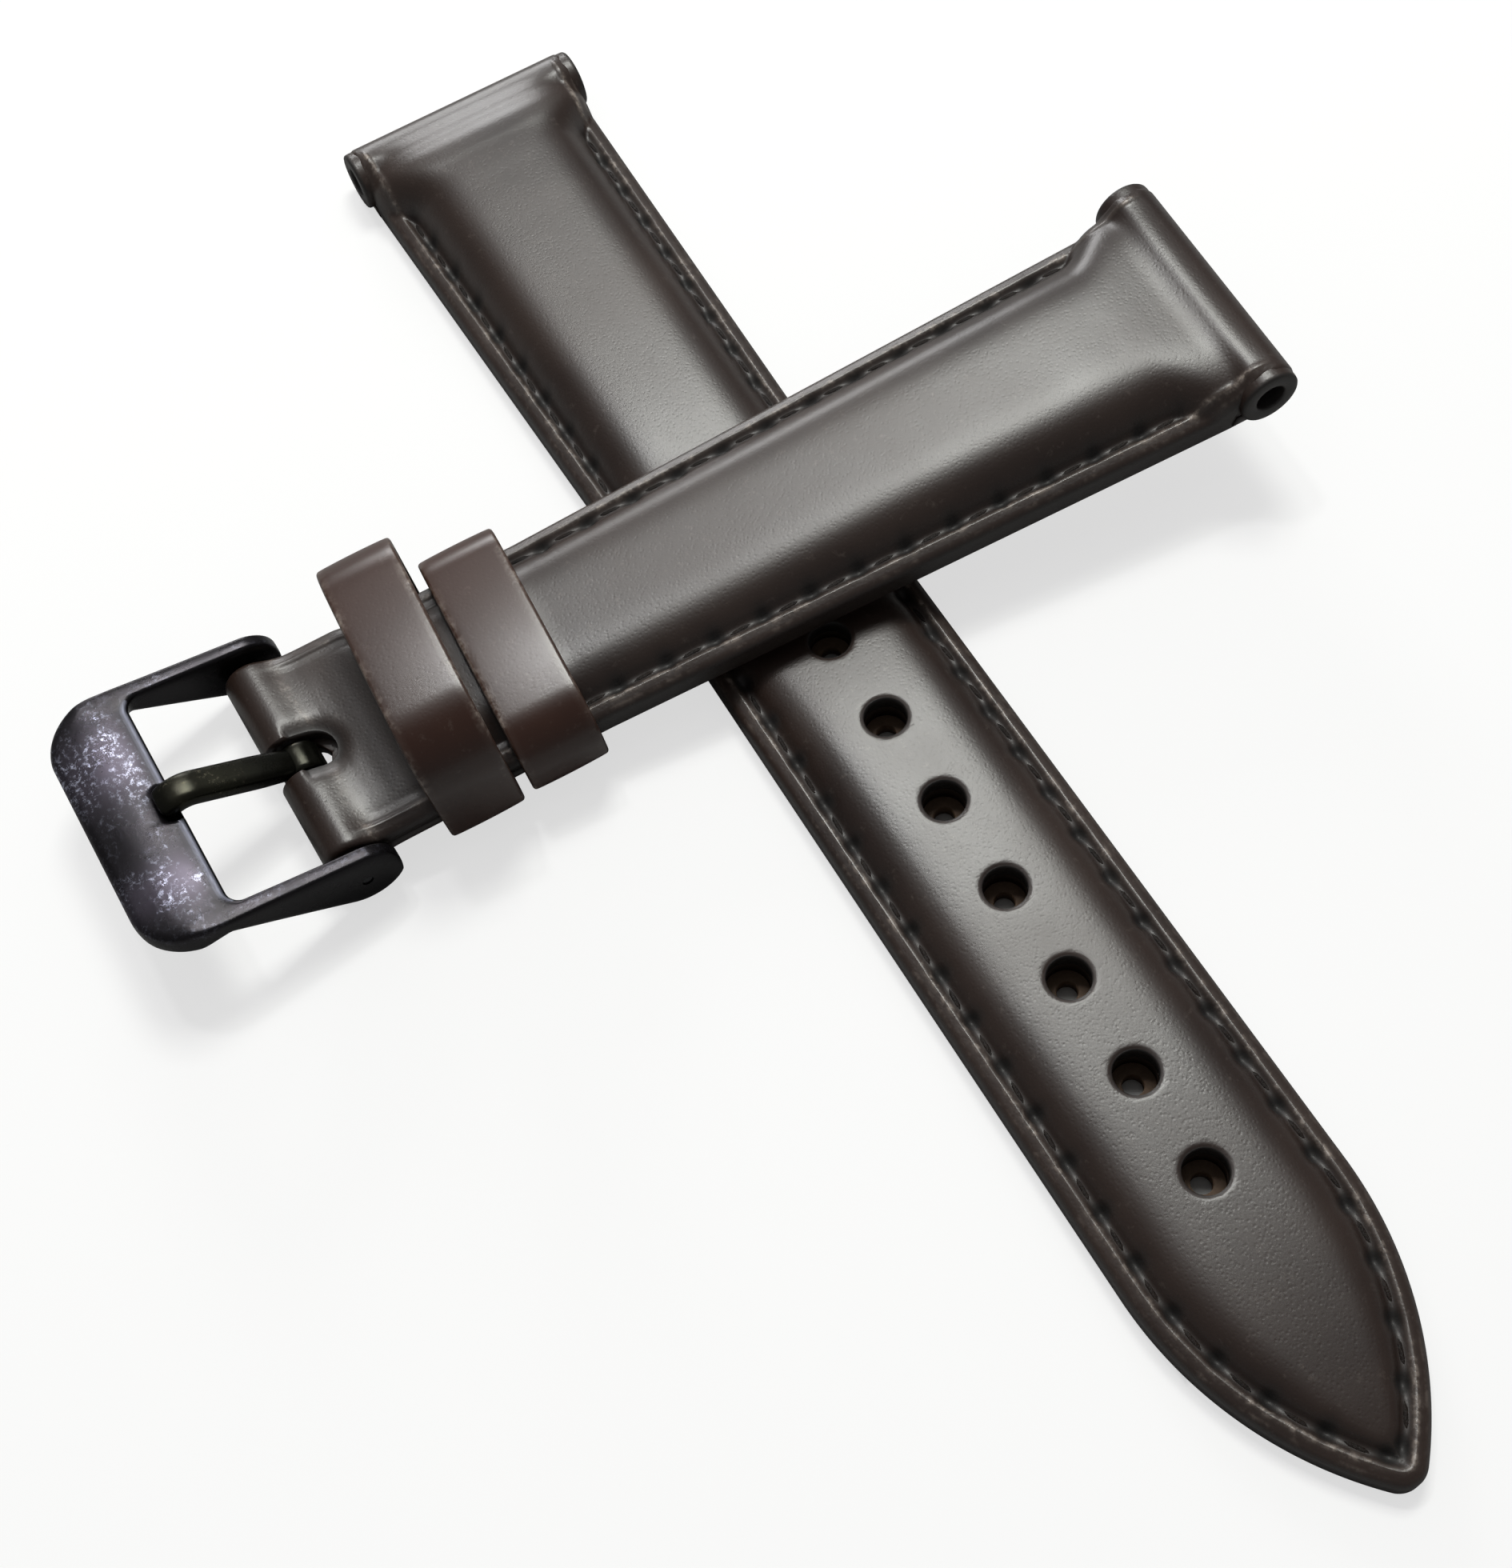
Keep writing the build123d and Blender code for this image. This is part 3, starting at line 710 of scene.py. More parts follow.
def longRows(fromX, holeRadius):
    # rows across the long piece as rays from the outline: foot, outward direction, reach to the
    # middle, slit half width at a hole, and the distance along the stitch line
    near = np.array([0, .25, .5, .72, .92, 1.08, 1.2, 1.28, 1.33, 1.35, 1.37, 1.42, 1.5, 1.62, 1.8,
                     2.05, 2.35, 2.65, 3.0, 3.35])
    near = near * np.where(near < 2, holeRadius / longPiece["holeRadius"], 1)
    offsets = joined(-near[:0:-1], near[:-1])
    holed = (longPiece["holes"][:, None] + offsets[None, :]).ravel()
    x = joined(np.arange(fromX, holed[0] - 0.1, 0.26), holed, [holed[-1] + 0.35])
    half = taper(x, longPiece)
    nearest = np.abs(x[:, None] - longPiece["holes"][None, :]).min(axis=1)
    slit = np.sqrt(np.clip(holeRadius**2 - nearest**2, 0, None))
    slit[slit < 1e-4] = 0
    # the tip: rays off the arch, then off the small round at its point
    tipRound = longPiece["tipRound"]
    roundCentre = math.sqrt((archRadius - tipRound) ** 2 - archDrop**2)
    lastTurn = math.atan2(roundCentre, archDrop)
    turns = np.linspace(0.045, lastTurn, 78)
    roundTurns = np.linspace(lastTurn, math.pi / 2, 9)[1:]
    directions = joined(turns, roundTurns)
    outwards = pointsAt(np.sin(directions), np.cos(directions))
    arch = outwards[:len(turns)] * archRadius + (longPiece["tipStart"], -archDrop)
    cap = outwards[len(turns):] * tipRound + (longPiece["tipStart"] + roundCentre, 0)
    reachArch = archRadius - archDrop / np.cos(turns)
    foot = joined(pointsAt(x, half), arch, cap)
    outward = joined(pointsAt(0 * x, 1.0), outwards)
    reach = joined(half, reachArch, np.full(len(roundTurns), tipRound))
    slit = joined(slit, np.zeros(len(directions)))
    rail = joined(x, longPiece["tipStart"] + railRadius * np.minimum(directions, lastTurn))
    return foot, outward, reach, slit, rail


def longSurface(fromX, holeRadius):
    # the rays' points, with their distance from the outline, and the top height there; in the tip
    # the crown's half width is the arch moved in, and its height falls with that width
    foot, outward, reach, slit, rail = longRows(fromX, holeRadius)
    d = columnDistances(reach, slit)
    flat = foot[:, None, :] - outward[:, None, :] * d[..., None]
    x, y = flat[..., 0], flat[..., 1]
    past = np.clip(x - longPiece["tipStart"], 0, None)
    arch = np.sqrt(np.clip((archRadius - leather["padInset"]) ** 2 - past**2, 0, None)) - archDrop
    crownHalf = np.clip(np.where(past > 0, arch, taper(x, longPiece) - crownInset(x)), 0, None)
    straightHalf = longPiece["endHalf"] - leather["padInset"]
    middle, width, depth = longPiece["sag"]
    crown = profile(x, *longPiece["crown"]) - depth * bell(x - middle, width)
    crown = crown * np.clip(crownHalf / straightHalf, 0, 1) ** 0.8
    top, pit = topHeights(x, y, d, crownHalf, crown, rail[:, None])
    away = np.abs(x[..., None] - longPiece["holes"]).min(axis=-1)
    edge = np.clip(np.hypot(away, y) - longPiece["holeRadius"], 0, None)
    (depth, width), (dark, thin) = longPiece["holeSink"], longPiece["holeShade"]
    # the second to last value is painted shade on the holes' walls
    return x, y, d, top - depth * bell(edge, width), pit, dark * bell(edge, thin), slit


def makeLongLeather():
    # lug flap and loop, then the top surface over the turned rim and the hollow, with painted shade in the holes
    x, y, d, top, pit, holeShadeMask, slit = longSurface(0.0, longPiece["holeRadius"])
    under = np.minimum(undersideHeights(x, d, top), top - leather["leastCover"])
    startUp, startLow = lugStart(2.3)
    up = joined(startUp, pointsAt(x, y, top))
    low = joined(startLow, pointsAt(x, y, under))
    blank = np.zeros(startUp.shape[:2])
    masks = {"rim": joined(blank, rubAndHighlightMask(d)), "pit": joined(blank, np.maximum(pit, holeShadeMask))}
    # underneath, painted shade in the holes and a darker line at the very edge
    edgePit = np.maximum(holeShadeMask, 0.5 * bell(d, 0.1))
    lowMasks = {"rim": joined(blank, 0 * d), "pit": joined(blank, edgePit)}
    parts = bothHalves(up, low, masks, lowMasks, joined(blank[:, 0], slit), capEnd=False)
    topSkin(longPiece, parts)


def makeLongInside():
    # filler and lining, without end faces: at the tip the last row lies where the halves meet
    x, y, d, top, *_, slit = longSurface(2.6, longPiece["holeRadius"])
    makePadding(longPiece, x, y, top, slit, capEnd=False)
    x, y, d, *_, slit = longSurface(2.46, longPiece["liningHole"])
    makeLining(longPiece, x, y, d, slit, capEnd=False)


def longStitchPlaces():
    # along the taper, the straight and the arch, at the inset, one pitch apart
    length = longPiece["tipStart"] + railRadius * math.acos(archDrop / railRadius)
    centres = np.arange(leather["firstStitch"] + leather["stitchLength"] / 2, length - 0.9,
                        leather["stitchPitch"])
    turn = np.clip((centres - longPiece["tipStart"]) / railRadius, 0, None)
    x = np.where(turn > 0, longPiece["tipStart"] + railRadius * np.sin(turn), centres)
    y = np.where(turn > 0, railRadius * np.cos(turn) - archDrop,
                 taper(centres, longPiece) - leather["stitchInset"])
    straight = np.where(centres < longPiece["taperX"], -1.57, 0)
    return list(zip(x, y, np.where(turn > 0, -np.degrees(turn), straight)))


makeLongLeather()
makeLongInside()
makeStitches(longPiece, longStitchPlaces())
print("long piece made")


# Short piece
shortPiece = {
    "name": "short", "lay": shortLay, "body": "short_strap",
    "taperX": 45.9,
    "endHalf": 7.2,
    "tabHalf": 7.6,
    "flare": (56.3, 58.3),
    "barX": 63.9,
    "barZ": 1.0,
    "foldRadius": 1.85,
    "foldRows": 25,
    "foldSpread": 1.45,  # how far from the bar the tab swells and sinks round the fold
    "foldBlend": (61.5, 63.7),  # the crown gives way to the fold's plain top between these
    "foldRubAndHighlight": (62.3, 0.35, 0.5),  # a pale line before the fold, rubbed and painted as the crease's highlight: place, width and amount
    "ridgeRubAndHighlightEnds": (58, 60),
    "barHole": 0.85,
    "holeSpread": 0.95,
    "skew": 4.2,
    "skewed": (52, 61),  # the tab slants from nothing to the bar's skew between these
    "flapStart": 50.1,
    "liningEnd": 49.9,
    "filler": (1.03, 1.05),  # foot, and least height of the top
    "stitches": 13,
    "stitchEnd": 48.5,
    "slotHalf": 1.35,
    "slotBack": 2.6,
    "flapSlotBack": 1.9,
    "slotSink": (0.34, 0.62),  # how the slot's edge sinks: depth and width
    "crown": ([0, 1.2, 2.2, 3.2, 4.6, 7, 12, 20, 45.9, 55.6, 58.0, 59.5, 61.0, 63.9],
              [1.95, 2.08, 2.02, 2.04, 2.10, 2.15, 2.13, 2.0, 1.15, 1.05, 0.45, 0.25, 0.2, 0.3]),
}


def shortHalf(x):
    # a taper from the lug to the narrow end, then the flare of the tab
    flare = shortPiece["tabHalf"] - shortPiece["endHalf"]
    return taper(x, shortPiece) + flare * ease(*shortPiece["flare"], x)


def shortRows(x, slit):
    # every column's distance from the outline and its place, for rows at x with a slit
    half = shortHalf(x)
    d = columnDistances(half, slit)
    return d, x[:, None] + 0 * d, half[:, None] - d


def shortTop(x, y, d, rail):
    # the top surface of rows at those places
    crown = profile(x[:, :1], *shortPiece["crown"])
    crownHalf = shortHalf(x[:, :1]) - crownInset(x)
    return topHeights(x, y, d, crownHalf, crown, rail)


def slotRows():
    # rows along the tab, closer where the slot's round end opens
    start = shortPiece["barX"] - shortPiece["slotBack"]
    ends = start + shortPiece["slotHalf"] * (1 - np.cos(np.radians(np.linspace(0, 90, 11))))
    before = start - np.array([0.9, 0.62, 0.42, 0.27, 0.16, 0.08, 0.03])
    after = np.linspace(ends[-1] + 0.22, shortPiece["barX"] - 0.2, 6)
    plain = [np.arange(0.0, 49.8, 0.27), [49.88, 49.92], np.arange(50.2, before[0] - 0.1, 0.27)]
    return joined(*plain, before, ends, after), start


def slotSlit(x, start):
    # the slot's half width: a half round end, then straight
    half = shortPiece["slotHalf"]
    past = np.clip(x - start, 0, half)
    slit = np.sqrt(np.clip(half**2 - (half - past) ** 2, 0, None))
    return np.where(x <= start + 1e-6, 0, slit)


def tabSurface(line, start):
    # top and underside from the lug to the bar: towards the fold the crown gives way to a bulge
    # over the bar, and the edge of the slot sinks, with painted shade round it
    bar, fold, barZ = shortPiece["barX"], shortPiece["foldRadius"], shortPiece["barZ"]
    slit = slotSlit(line, start)
    d, x, y = shortRows(line, slit)
    rail = np.where(line < shortPiece["stitchEnd"] + 0.3, line, -5)[:, None]
    top, pit = shortTop(x, y, d, rail)
    mixed = ease(*shortPiece["foldBlend"], x)
    bulge = (fold + barZ - leather["rimHeight"]) * bell(bar - x, shortPiece["foldSpread"])
    top = top * (1 - mixed) + mixed * (leather["rimHeight"] - rounding(d, leather["rimRound"])) + bulge
    half = shortPiece["slotHalf"]
    fromSlot = np.where(x < start + half, np.hypot(x - start - half, y) - half, y - half)
    fromSlot = np.clip(fromSlot, 0, None)
    fades = ease(start - 2, start - 0.5, x)
    depth, width = shortPiece["slotSink"]
    top -= depth * bell(fromSlot, width) * fades
    # painted shade round the slot, carried by the pit mask
    pit = np.maximum(pit, 0.85 * bell(fromSlot, 0.50) * fades)
    overBar = barZ + 0.01 + shortPiece["barHole"] * bell(bar - x, shortPiece["holeSpread"])
    under = np.where(x < shortPiece["liningEnd"], undersideHeights(x, d, top), overBar)
    under = np.minimum(under, top - leather["leastCover"])
    return pointsAt(x, y, top), pointsAt(x, y, under), d, pit, slit


def flapSurface(line):
    # from the fold back beneath the tab: it comes up off the bar's round to lie flat
    bar, barZ, hole = shortPiece["barX"], shortPiece["barZ"], shortPiece["barHole"]
    slit = slotSlit(line, bar - shortPiece["flapSlotBack"])
    d, x, y = shortRows(line, slit)
    sink = (barZ - shortPiece["foldRadius"]) * bell(bar - x, shortPiece["foldSpread"])
    inside = barZ - 0.05 - (hole - 0.05) * bell(bar - x, shortPiece["holeSpread"])
    return pointsAt(x, y, sink + rounding(d, 0.35)), pointsAt(x, y, inside), d, slit


def makeShortLeather():
    # lug flap and loop, the top to the bar, round the fold, and back beneath as far as the lining
    line, start = slotRows()
    tabUp, tabLow, d, pit, slit = tabSurface(line, start)
    back = line[line > shortPiece["flapStart"]][::-1]
    flapUp, flapLow, flapD, flapSlit = flapSurface(back)
    lugUp, lugLow = lugStart(2.39)
    half, foldRows = shortPiece["tabHalf"], shortPiece["foldRows"]
    foldD = columnDistances([half], [shortPiece["slotHalf"]])[0][None, :]
    foldUp, foldLow = loopRows(np.linspace(90, -90, foldRows), foldD, half, shortPiece["foldRadius"],
                               shortPiece["barHole"], (shortPiece["barX"], shortPiece["barZ"]))
    counts = (len(lugUp), len(line), foldRows, len(back))

    def alongRows(lug, tab, fold, flap):
        # one value for each row, the four stretches after each other
        values = (lug, tab, fold, flap)
        return np.concatenate([np.broadcast_to(v, n) for v, n in zip(values, counts)]).astype(float)

    allD = joined(np.tile(d[:1], (counts[0], 1)), d, np.tile(foldD, (foldRows, 1)), flapD)
    dark = joined(np.zeros(lugUp.shape[:2]), pit, np.zeros((foldRows + len(back), d.shape[1])))
    onTop = alongRows(0, 1 - ease(*shortPiece["ridgeRubAndHighlightEnds"], line), 0, 0)[:, None]
    place, width, amount = shortPiece["foldRubAndHighlight"]
    foldRubAndHighlight = alongRows(0, amount * bell(line - place, width), 0, 0)[:, None]
    masks = {"rim": np.clip(rubAndHighlightMask(allD) * onTop + foldRubAndHighlight, 0, 1), "pit": dark}
    lowMasks = {"rim": 0 * allD, "pit": 0.5 * bell(allD, 0.1)}
    skew, skewed = math.tan(math.radians(shortPiece["skew"])), shortPiece["skewed"]
    shear = alongRows(0, skew * ease(*skewed, line), skew, skew * ease(*skewed, back))[:, None]
    parts = bothHalves(joined(lugUp, tabUp, foldUp, flapUp),
                       joined(lugLow, tabLow, foldLow, flapLow),
                       masks, lowMasks, alongRows(0, slit, 1, flapSlit), shear)
    topSkin(shortPiece, parts)


def makeShortInside():
    # filler and lining, both with plain ends
    line = np.arange(2.6, 57.6, 0.4)
    d, x, y = shortRows(line, 0 * line)
    makePadding(shortPiece, x, y, shortTop(x, y, d, 0 * x - 5)[0], 0 * line, capEnd=True)
    line = np.arange(2.46, 49.86, 0.27)
    d, x, y = shortRows(line, 0 * line)
    makeLining(shortPiece, x, y, d, 0 * line, capEnd=True)


def shortStitchPlaces():
    # one pitch apart, from the lug to the fixed keeper
    steps = leather["stitchPitch"] * np.arange(shortPiece["stitches"])
    centres = leather["firstStitch"] + leather["stitchLength"] / 2 + steps
    y = shortHalf(centres) - leather["stitchInset"]
    return [(centre, inset, -1.75) for centre, inset in zip(centres, y)]


makeShortLeather()
makeShortInside()
makeStitches(shortPiece, shortStitchPlaces())
print("short piece made")


# Keepers
keepers = {
    "fixed": {"body": "short_strap", "start": 46.7, "length": 5.2, "half": 7.5, "top": 4.0,
              "shoulder": 2.2},
    "free": {"body": "free_keeper", "start": 52.6, "length": 5.0, "half": 7.75, "top": 8.4,
             "shoulder": 3.4},
}
keeperBand = {"lining": 0.3, "skin": 0.7, "crown": 0.5, "foot": -0.05, "corner": 0.4, "gap": 0.005}


def arc(cy, cz, radius, turns):
    # points of a circle and their outward directions
    out = pointsAt(np.sin(turns), np.cos(turns))
    return (cy, cz) + radius * out, out


def keeperLoop(half, top, shoulder):
    # a closed line round the strap: flat foot, straight sides, round shoulders and a low arch over
    # the top, sampled evenly, with its outward directions
    crown, foot, corner = keeperBand["crown"], keeperBand["foot"], keeperBand["corner"]
    archR = (half**2 + crown**2) / (2 * crown)
    # centre of the shoulder's round: inside the side line and inside the arch
    cy = half - shoulder
    cz = top - archR + math.sqrt((archR - shoulder) ** 2 - cy**2)
    begin = math.atan2(cy, cz - (top - archR))
    z = np.linspace(cz, foot + corner, 12)[1:]
    y = np.linspace(half - corner, 0, 14)[1:]
    runs = [
        arc(0, top - archR, archR, np.linspace(0, begin, 22)),
        arc(cy, cz, shoulder, np.linspace(begin, math.pi / 2, 22)[1:]),
        (pointsAt(half, z), pointsAt(1.0, 0 * z)),
        arc(half - corner, foot + corner, corner, np.linspace(math.pi / 2, math.pi, 9)[1:]),
        (pointsAt(y, foot), pointsAt(0 * y, -1.0)),
    ]
    right, out = (np.concatenate(both) for both in zip(*runs))
    left, leftOut = right[-2:0:-1] * (-1, 1), out[-2:0:-1] * (-1, 1)
    return joined(right, left), joined(out, leftOut)


def keeperLayer(name, spec, inner, outer, material, replaced):
    # a rounded flat section carried round the loop: width along the strap, thickness outwards
    line, out = keeperLoop(spec["half"], spec["top"], spec["shoulder"])
    width, thick = spec["length"] / 2, outer - inner
    edge = min(0.24, thick * 0.42)
    turn = np.radians(np.linspace(0, 90, 5))
    sin, cos = edge * np.sin(turn), edge * np.cos(turn)
    side = joined(pointsAt(width - edge + sin, outer - edge + cos),
                  pointsAt(width - edge + cos, inner + edge - sin))
    across = np.linspace(-(width - edge), width - edge, 13)[1:-1]
    topRow = pointsAt(across, outer + 0.05 * (1 - (across / width) ** 2))
    lowRow = pointsAt(across[::-1], inner)
    section = joined(topRow, side, lowRow, side[::-1] * (-1, 1))
    a, b = section.T[:, None, :]
    y, z = (line[:, [k]] + out[:, [k]] * b for k in (0, 1))
    points, quads = hoop(pointsAt(spec["start"] + width + a, y, z))
    outside = section[:, 1] > inner + thick / 2
    # the band's top edges rubbed pale through the rim mask, partly painted highlights on the keepers' rims
    rim = np.clip(bell(np.abs(section[:, 0]) - width + 0.12, 0.16) * outside, 0, 1)
    makePiece(name, [(points, quads, {"rim": np.tile(rim, len(line))})], shortLay, material,
              spec["body"], replaced)


for kind, spec in keepers.items():
    lining, gap = keeperBand["lining"], keeperBand["gap"]
    keeperLayer(f"{kind}_keeper_skin", spec, lining + gap, lining + keeperBand["skin"],
                keeperLeather, f"{kind}_keeper_leather")
    keeperLayer(f"{kind}_keeper_inside", spec, 0.0, lining - gap,
                keeperLining, f"{kind}_keeper_lining")
print("keepers made")


# Buckle
buckle = {
    "innerHalf": 8.1,
    "arm": 1.2,
    "lobe": (0.0, 0.0, 2.35),  # along, up and radius, as in the next three
    "knee": (8.75, 0.45, 0.6),
    "belly": (10.7, -0.15, 0.95),
    "nose": (12.75, -0.75, 0.7),
    "frontCorner": 3.5,
    "windowCorner": 0.9,
    "squareness": 5.0,
    "pinHole": 0.37,
    "notchEdge": (1.12, 1.42),  # the tongue's notch ends between these, from the middle
    "worn": ((-4.3, 2.4), (5.3, 1.4)),  # where the front bar is rubbed: middle and width along it
}
tongue = {
    "width": 2.1, "thick": 1.4, "root": (0.9, 0.65), "lift": 9.5, "straight": 6.3, "bendRadius": 1.9,
    "bend": 54.0, "tip": 0.5, "ringInner": 0.83, "ringOuter": 1.43, "squareness": 3.2,
    "clearance": 0.08,  # between the tongue and its notch
}


def hullHeights(x, circles):
    # upper and lower edge of the tight band round circles: a circle's own height where it lies, and
    # between two the tangent, which touches both at the same angle
    edges = []
    for sign, pick in ((1, np.maximum), (-1, np.minimum)):
        edge = np.full(x.shape, -sign * 1e9)
        for i, (ax, az, ar) in enumerate(circles):
            rise = np.sqrt(np.clip(ar**2 - (x - ax) ** 2, 0, None))
            edge = np.where(np.abs(x - ax) <= ar, pick(edge, az + sign * rise), edge)
            for bx, bz, br in circles[i + 1:]:
                lean = math.acos((ar - br) / math.hypot(bx - ax, bz - az))
                turn = math.atan2(bz - az, bx - ax) + sign * lean
                px, pz = ax + ar * math.cos(turn), az + ar * math.sin(turn)
                qx, qz = bx + br * math.cos(turn), bz + br * math.sin(turn)
                share = (x - px) / (qx - px)
                between = (share >= 0) & (share <= 1)
                edge = np.where(between, pick(edge, pz + (qz - pz) * share), edge)
        edges.append(edge)
    return edges


def buckleHeights(x):
    # the arm's band from lobe to knee, and the front bar's band round knee, belly and nose
    arm = hullHeights(x, [buckle["lobe"], buckle["knee"]])
    front = hullHeights(x, [buckle["knee"], buckle["belly"], buckle["nose"]])
    return np.maximum(arm[0], front[0]), np.minimum(arm[1], front[1])


def planLine(half, front, corner, count=(16, 40, 26, 44)):
    # half of the frame's plan from the lobe's back to the middle of the front, with a round corner
    lobe = buckle["lobe"][2]
    lobePart = -lobe + lobe * (1 - np.cos(np.linspace(0, math.pi / 2, count[0])))
    arm = joined(lobePart, np.linspace(0, front - corner, count[1])[1:])
    turn = np.linspace(0, math.pi / 2, count[2])[1:]
    bend = pointsAt(front - corner + corner * np.sin(turn), half - corner + corner * np.cos(turn))
    last = np.linspace(half - corner, 0, count[3])[1:]
    return joined(pointsAt(arm, half), bend, pointsAt(front, last))


def tongueBend(turn):
    # middle line of the tongue in the side view, a turn into its bend
    lift, radius, (x, z) = math.radians(tongue["lift"]), tongue["bendRadius"], tongue["root"]
    x = x + tongue["straight"] * math.cos(lift) + radius * (math.sin(lift) - np.sin(lift - turn))
    z = z + tongue["straight"] * math.sin(lift) + radius * (np.cos(lift - turn) - math.cos(lift))
    return x, z


def tongueRest(x):
    # floor of the notch: the tongue's underside, then the rise of its end face
    x0, z0 = tongueBend(math.radians(tongue["bend"]))
    fall = math.radians(tongue["lift"] - tongue["bend"])
    tip, under = tongue["tip"] + tongue["clearance"], tongue["thick"] / 2 + tongue["clearance"]
    lineX = x0 + tip * math.cos(fall) + under * math.sin(fall)
    lineZ = z0 + tip * math.sin(fall) - under * math.cos(fall)
    bottom = lineZ + (x - lineX) * math.tan(fall)
    face = lineZ - (x - lineX) / math.tan(fall)
    return np.maximum(bottom, face)


def makeBuckleFrame():
    # squarish sections between the window's line and the outer line, as high as the band there,
    # with the tongue's notch sunk into the front bar
    innerHalf, knee, nose = buckle["innerHalf"], buckle["knee"], buckle["nose"]
    outer = planLine(innerHalf + buckle["arm"], nose[0] + nose[2], buckle["frontCorner"])
    inner = planLine(innerHalf, knee[0] - knee[2], buckle["windowCorner"])
    turn = fullTurn(48)
    across = 0.5 - 0.5 * squared(np.cos(turn), buckle["squareness"])[None, :]
    up = squared(np.sin(turn), buckle["squareness"])[None, :]
    plan = inner[:, None, :] * (1 - across[..., None]) + outer[:, None, :] * across[..., None]
    x, y = plan[..., 0], plan[..., 1]
    high, low = buckleHeights(np.clip(x, -2.345, 13.445))
    z = (high + low) / 2 + (high - low) / 2 * up
    notch = tongueRest(x)
    depth = 1 - ease(*buckle["notchEdge"], np.abs(y))
    z = np.where((up > 0) & (notch < z), z + (notch - z) * depth, z)
    points = pointsAt(x, y, z).reshape(-1, 3)
    faces = gridQuads(np.arange(z.size).reshape(z.shape), True)
    front = ease(8.6, 9.6, x) * (up > 0.2)
    # painted highlight along the arms' tops, through the rim mask's haze and flecks
    armTopHighlight = 0.15 * bell(up - 1, 0.12) * bell(across - 0.4, 0.3) * (x < 8.4)
    # painted highlight: a bright line along the window's edge of the front bar, through the pit mask
    rearEdgeHighlight = 0.55 * bell(up - 0.85, 0.05) * (across < 0.2) * (x > 8.05) * (np.abs(y) > 1.3)
    parts = []
    for side in (1, -1):
        worn = sum(bell(side * y - middle, width) for middle, width in buckle["worn"])
        rim = np.clip(front * (0.12 + worn) + armTopHighlight, 0, 1)
        masks = {"rim": rim.ravel(), "pit": rearEdgeHighlight.ravel()}
        parts.append((points * (1, side, 1), faces[:, ::side], masks))
    return makePiece("buckle_frame_metal", parts, buckleLay, bucklePlate, "buckle_frame",
                     "buckle_frame")


def borePinHoles(piece):
    # a cylinder through both arms, cut out of the frame
    turn = fullTurn(32)
    ring = buckle["pinHole"] * pointsAt(np.cos(turn), 0, np.sin(turn))
    points, faces = rod(np.stack([ring + (0, -12, 0), ring + (0, 12, 0)]))
    mesh = bpy.data.meshes.new("pinHoleCutter")
    mesh.from_pydata(laid(points, buckleLay).tolist(), [], faces)
    cleanMesh(mesh)
    cutter = addObject("pinHoleCutter", mesh)
    cut = piece.modifiers.new("pinHoles", "BOOLEAN")
    cut.operation, cut.solver, cut.object = "DIFFERENCE", "EXACT", cutter
    bpy.context.view_layer.update()
    done = bpy.data.meshes.new_from_object(piece.evaluated_get(bpy.context.evaluated_depsgraph_get()))
    piece.modifiers.clear()
    piece.data = done
    bpy.data.objects.remove(cutter)
    smooth(done, 50)


def tongueLine():
    # root, rise and bend of the tongue's middle line in the side view, with its headings
    lift, bend = math.radians(tongue["lift"]), math.radians(tongue["bend"])
    fall = lift - bend
    along = np.linspace(0, tongue["straight"], 26)
    turn = np.linspace(0, bend, 22)[1:]
    bx, bz = tongueBend(turn)
    # the tip, with its end rounded off by shrinking sections
    cap = np.array([0.12, 0.24, 0.34, 0.42, 0.47, 0.495, 0.5])
    shrink = [1, 0.985, 0.94, 0.86, 0.72, 0.5, 0.02]
    x = [tongue["root"][0] + along * math.cos(lift), bx, bx[-1] + cap * math.cos(fall)]
    z = [tongue["root"][1] + along * math.sin(lift), bz, bz[-1] + cap * math.sin(fall)]
    line = pointsAt(np.concatenate(x), np.concatenate(z))
    headings = joined(np.full(len(along), lift), lift - turn, np.full(len(cap), fall))
    return line, headings, joined(np.ones(len(along) + len(turn)), shrink)


def makeTongue():
    # a squarish section carried along the line, and a rounded flat band turned round the bar
    line, heading, size = tongueLine()
    turn = fullTurn(32)
    y = tongue["width"] / 2 * squared(np.cos(turn), tongue["squareness"])
    up = tongue["thick"] / 2 * squared(np.sin(turn), tongue["squareness"])
    distance = np.arange(len(size))[:, None]
    grow = size[:, None] * (0.93 + 0.07 * ease(0, 10, distance))
    x = line[:, :1] - np.sin(heading)[:, None] * up * grow
    z = line[:, 1:] + np.cos(heading)[:, None] * up * grow
    # painted highlights: two spots on the tongue's top, lightened through the rim mask's haze and flecks
    rim = np.clip(bell(distance - 20, 7) + bell(distance - 36, 7), 0, 1) * (up > 0.2)
    arm = (*rod(pointsAt(x, y * grow, z)), {"rim": rim.ravel()})
    ri, ro, w = tongue["ringInner"], tongue["ringOuter"], tongue["width"] / 2
    half = [(ro, w - .42), (ro - .03, w - .2), (ro - .12, w - .06), (ro - .3, w), (ri + .15, w),
            (ri + .04, w - .04), (ri, w - .15)]
    band = np.array([(ri, .15 - w)] + half[::-1] + [(r, -v) for r, v in half[:-1]])
    angle = fullTurn(48)[:, None]
    r, across = band.T[:, None, :]
    ring = pointsAt(r * np.cos(angle), across, r * np.sin(angle))
    makePiece("buckle_tongue_metal", [arm, (*hoop(ring), {"rim": 0.25})], buckleLay, tonguePlate,
              "buckle_tongue", "buckle_tongue", 60)


borePinHoles(makeBuckleFrame())
makeTongue()
print("buckle made")

# Spring bar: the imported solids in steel
for name, finish in (("spring_bar_tube", barSteel), ("spring_bar_pin_right", pinSteel),
                     ("spring_bar_pin_left", pinSteel), ("spring_bar_spring", springSteel)):
    kept = frame["nodes"][name]
    kept.data.materials.clear()
    kept.data.materials.append(finish)
print("spring bar in steel")

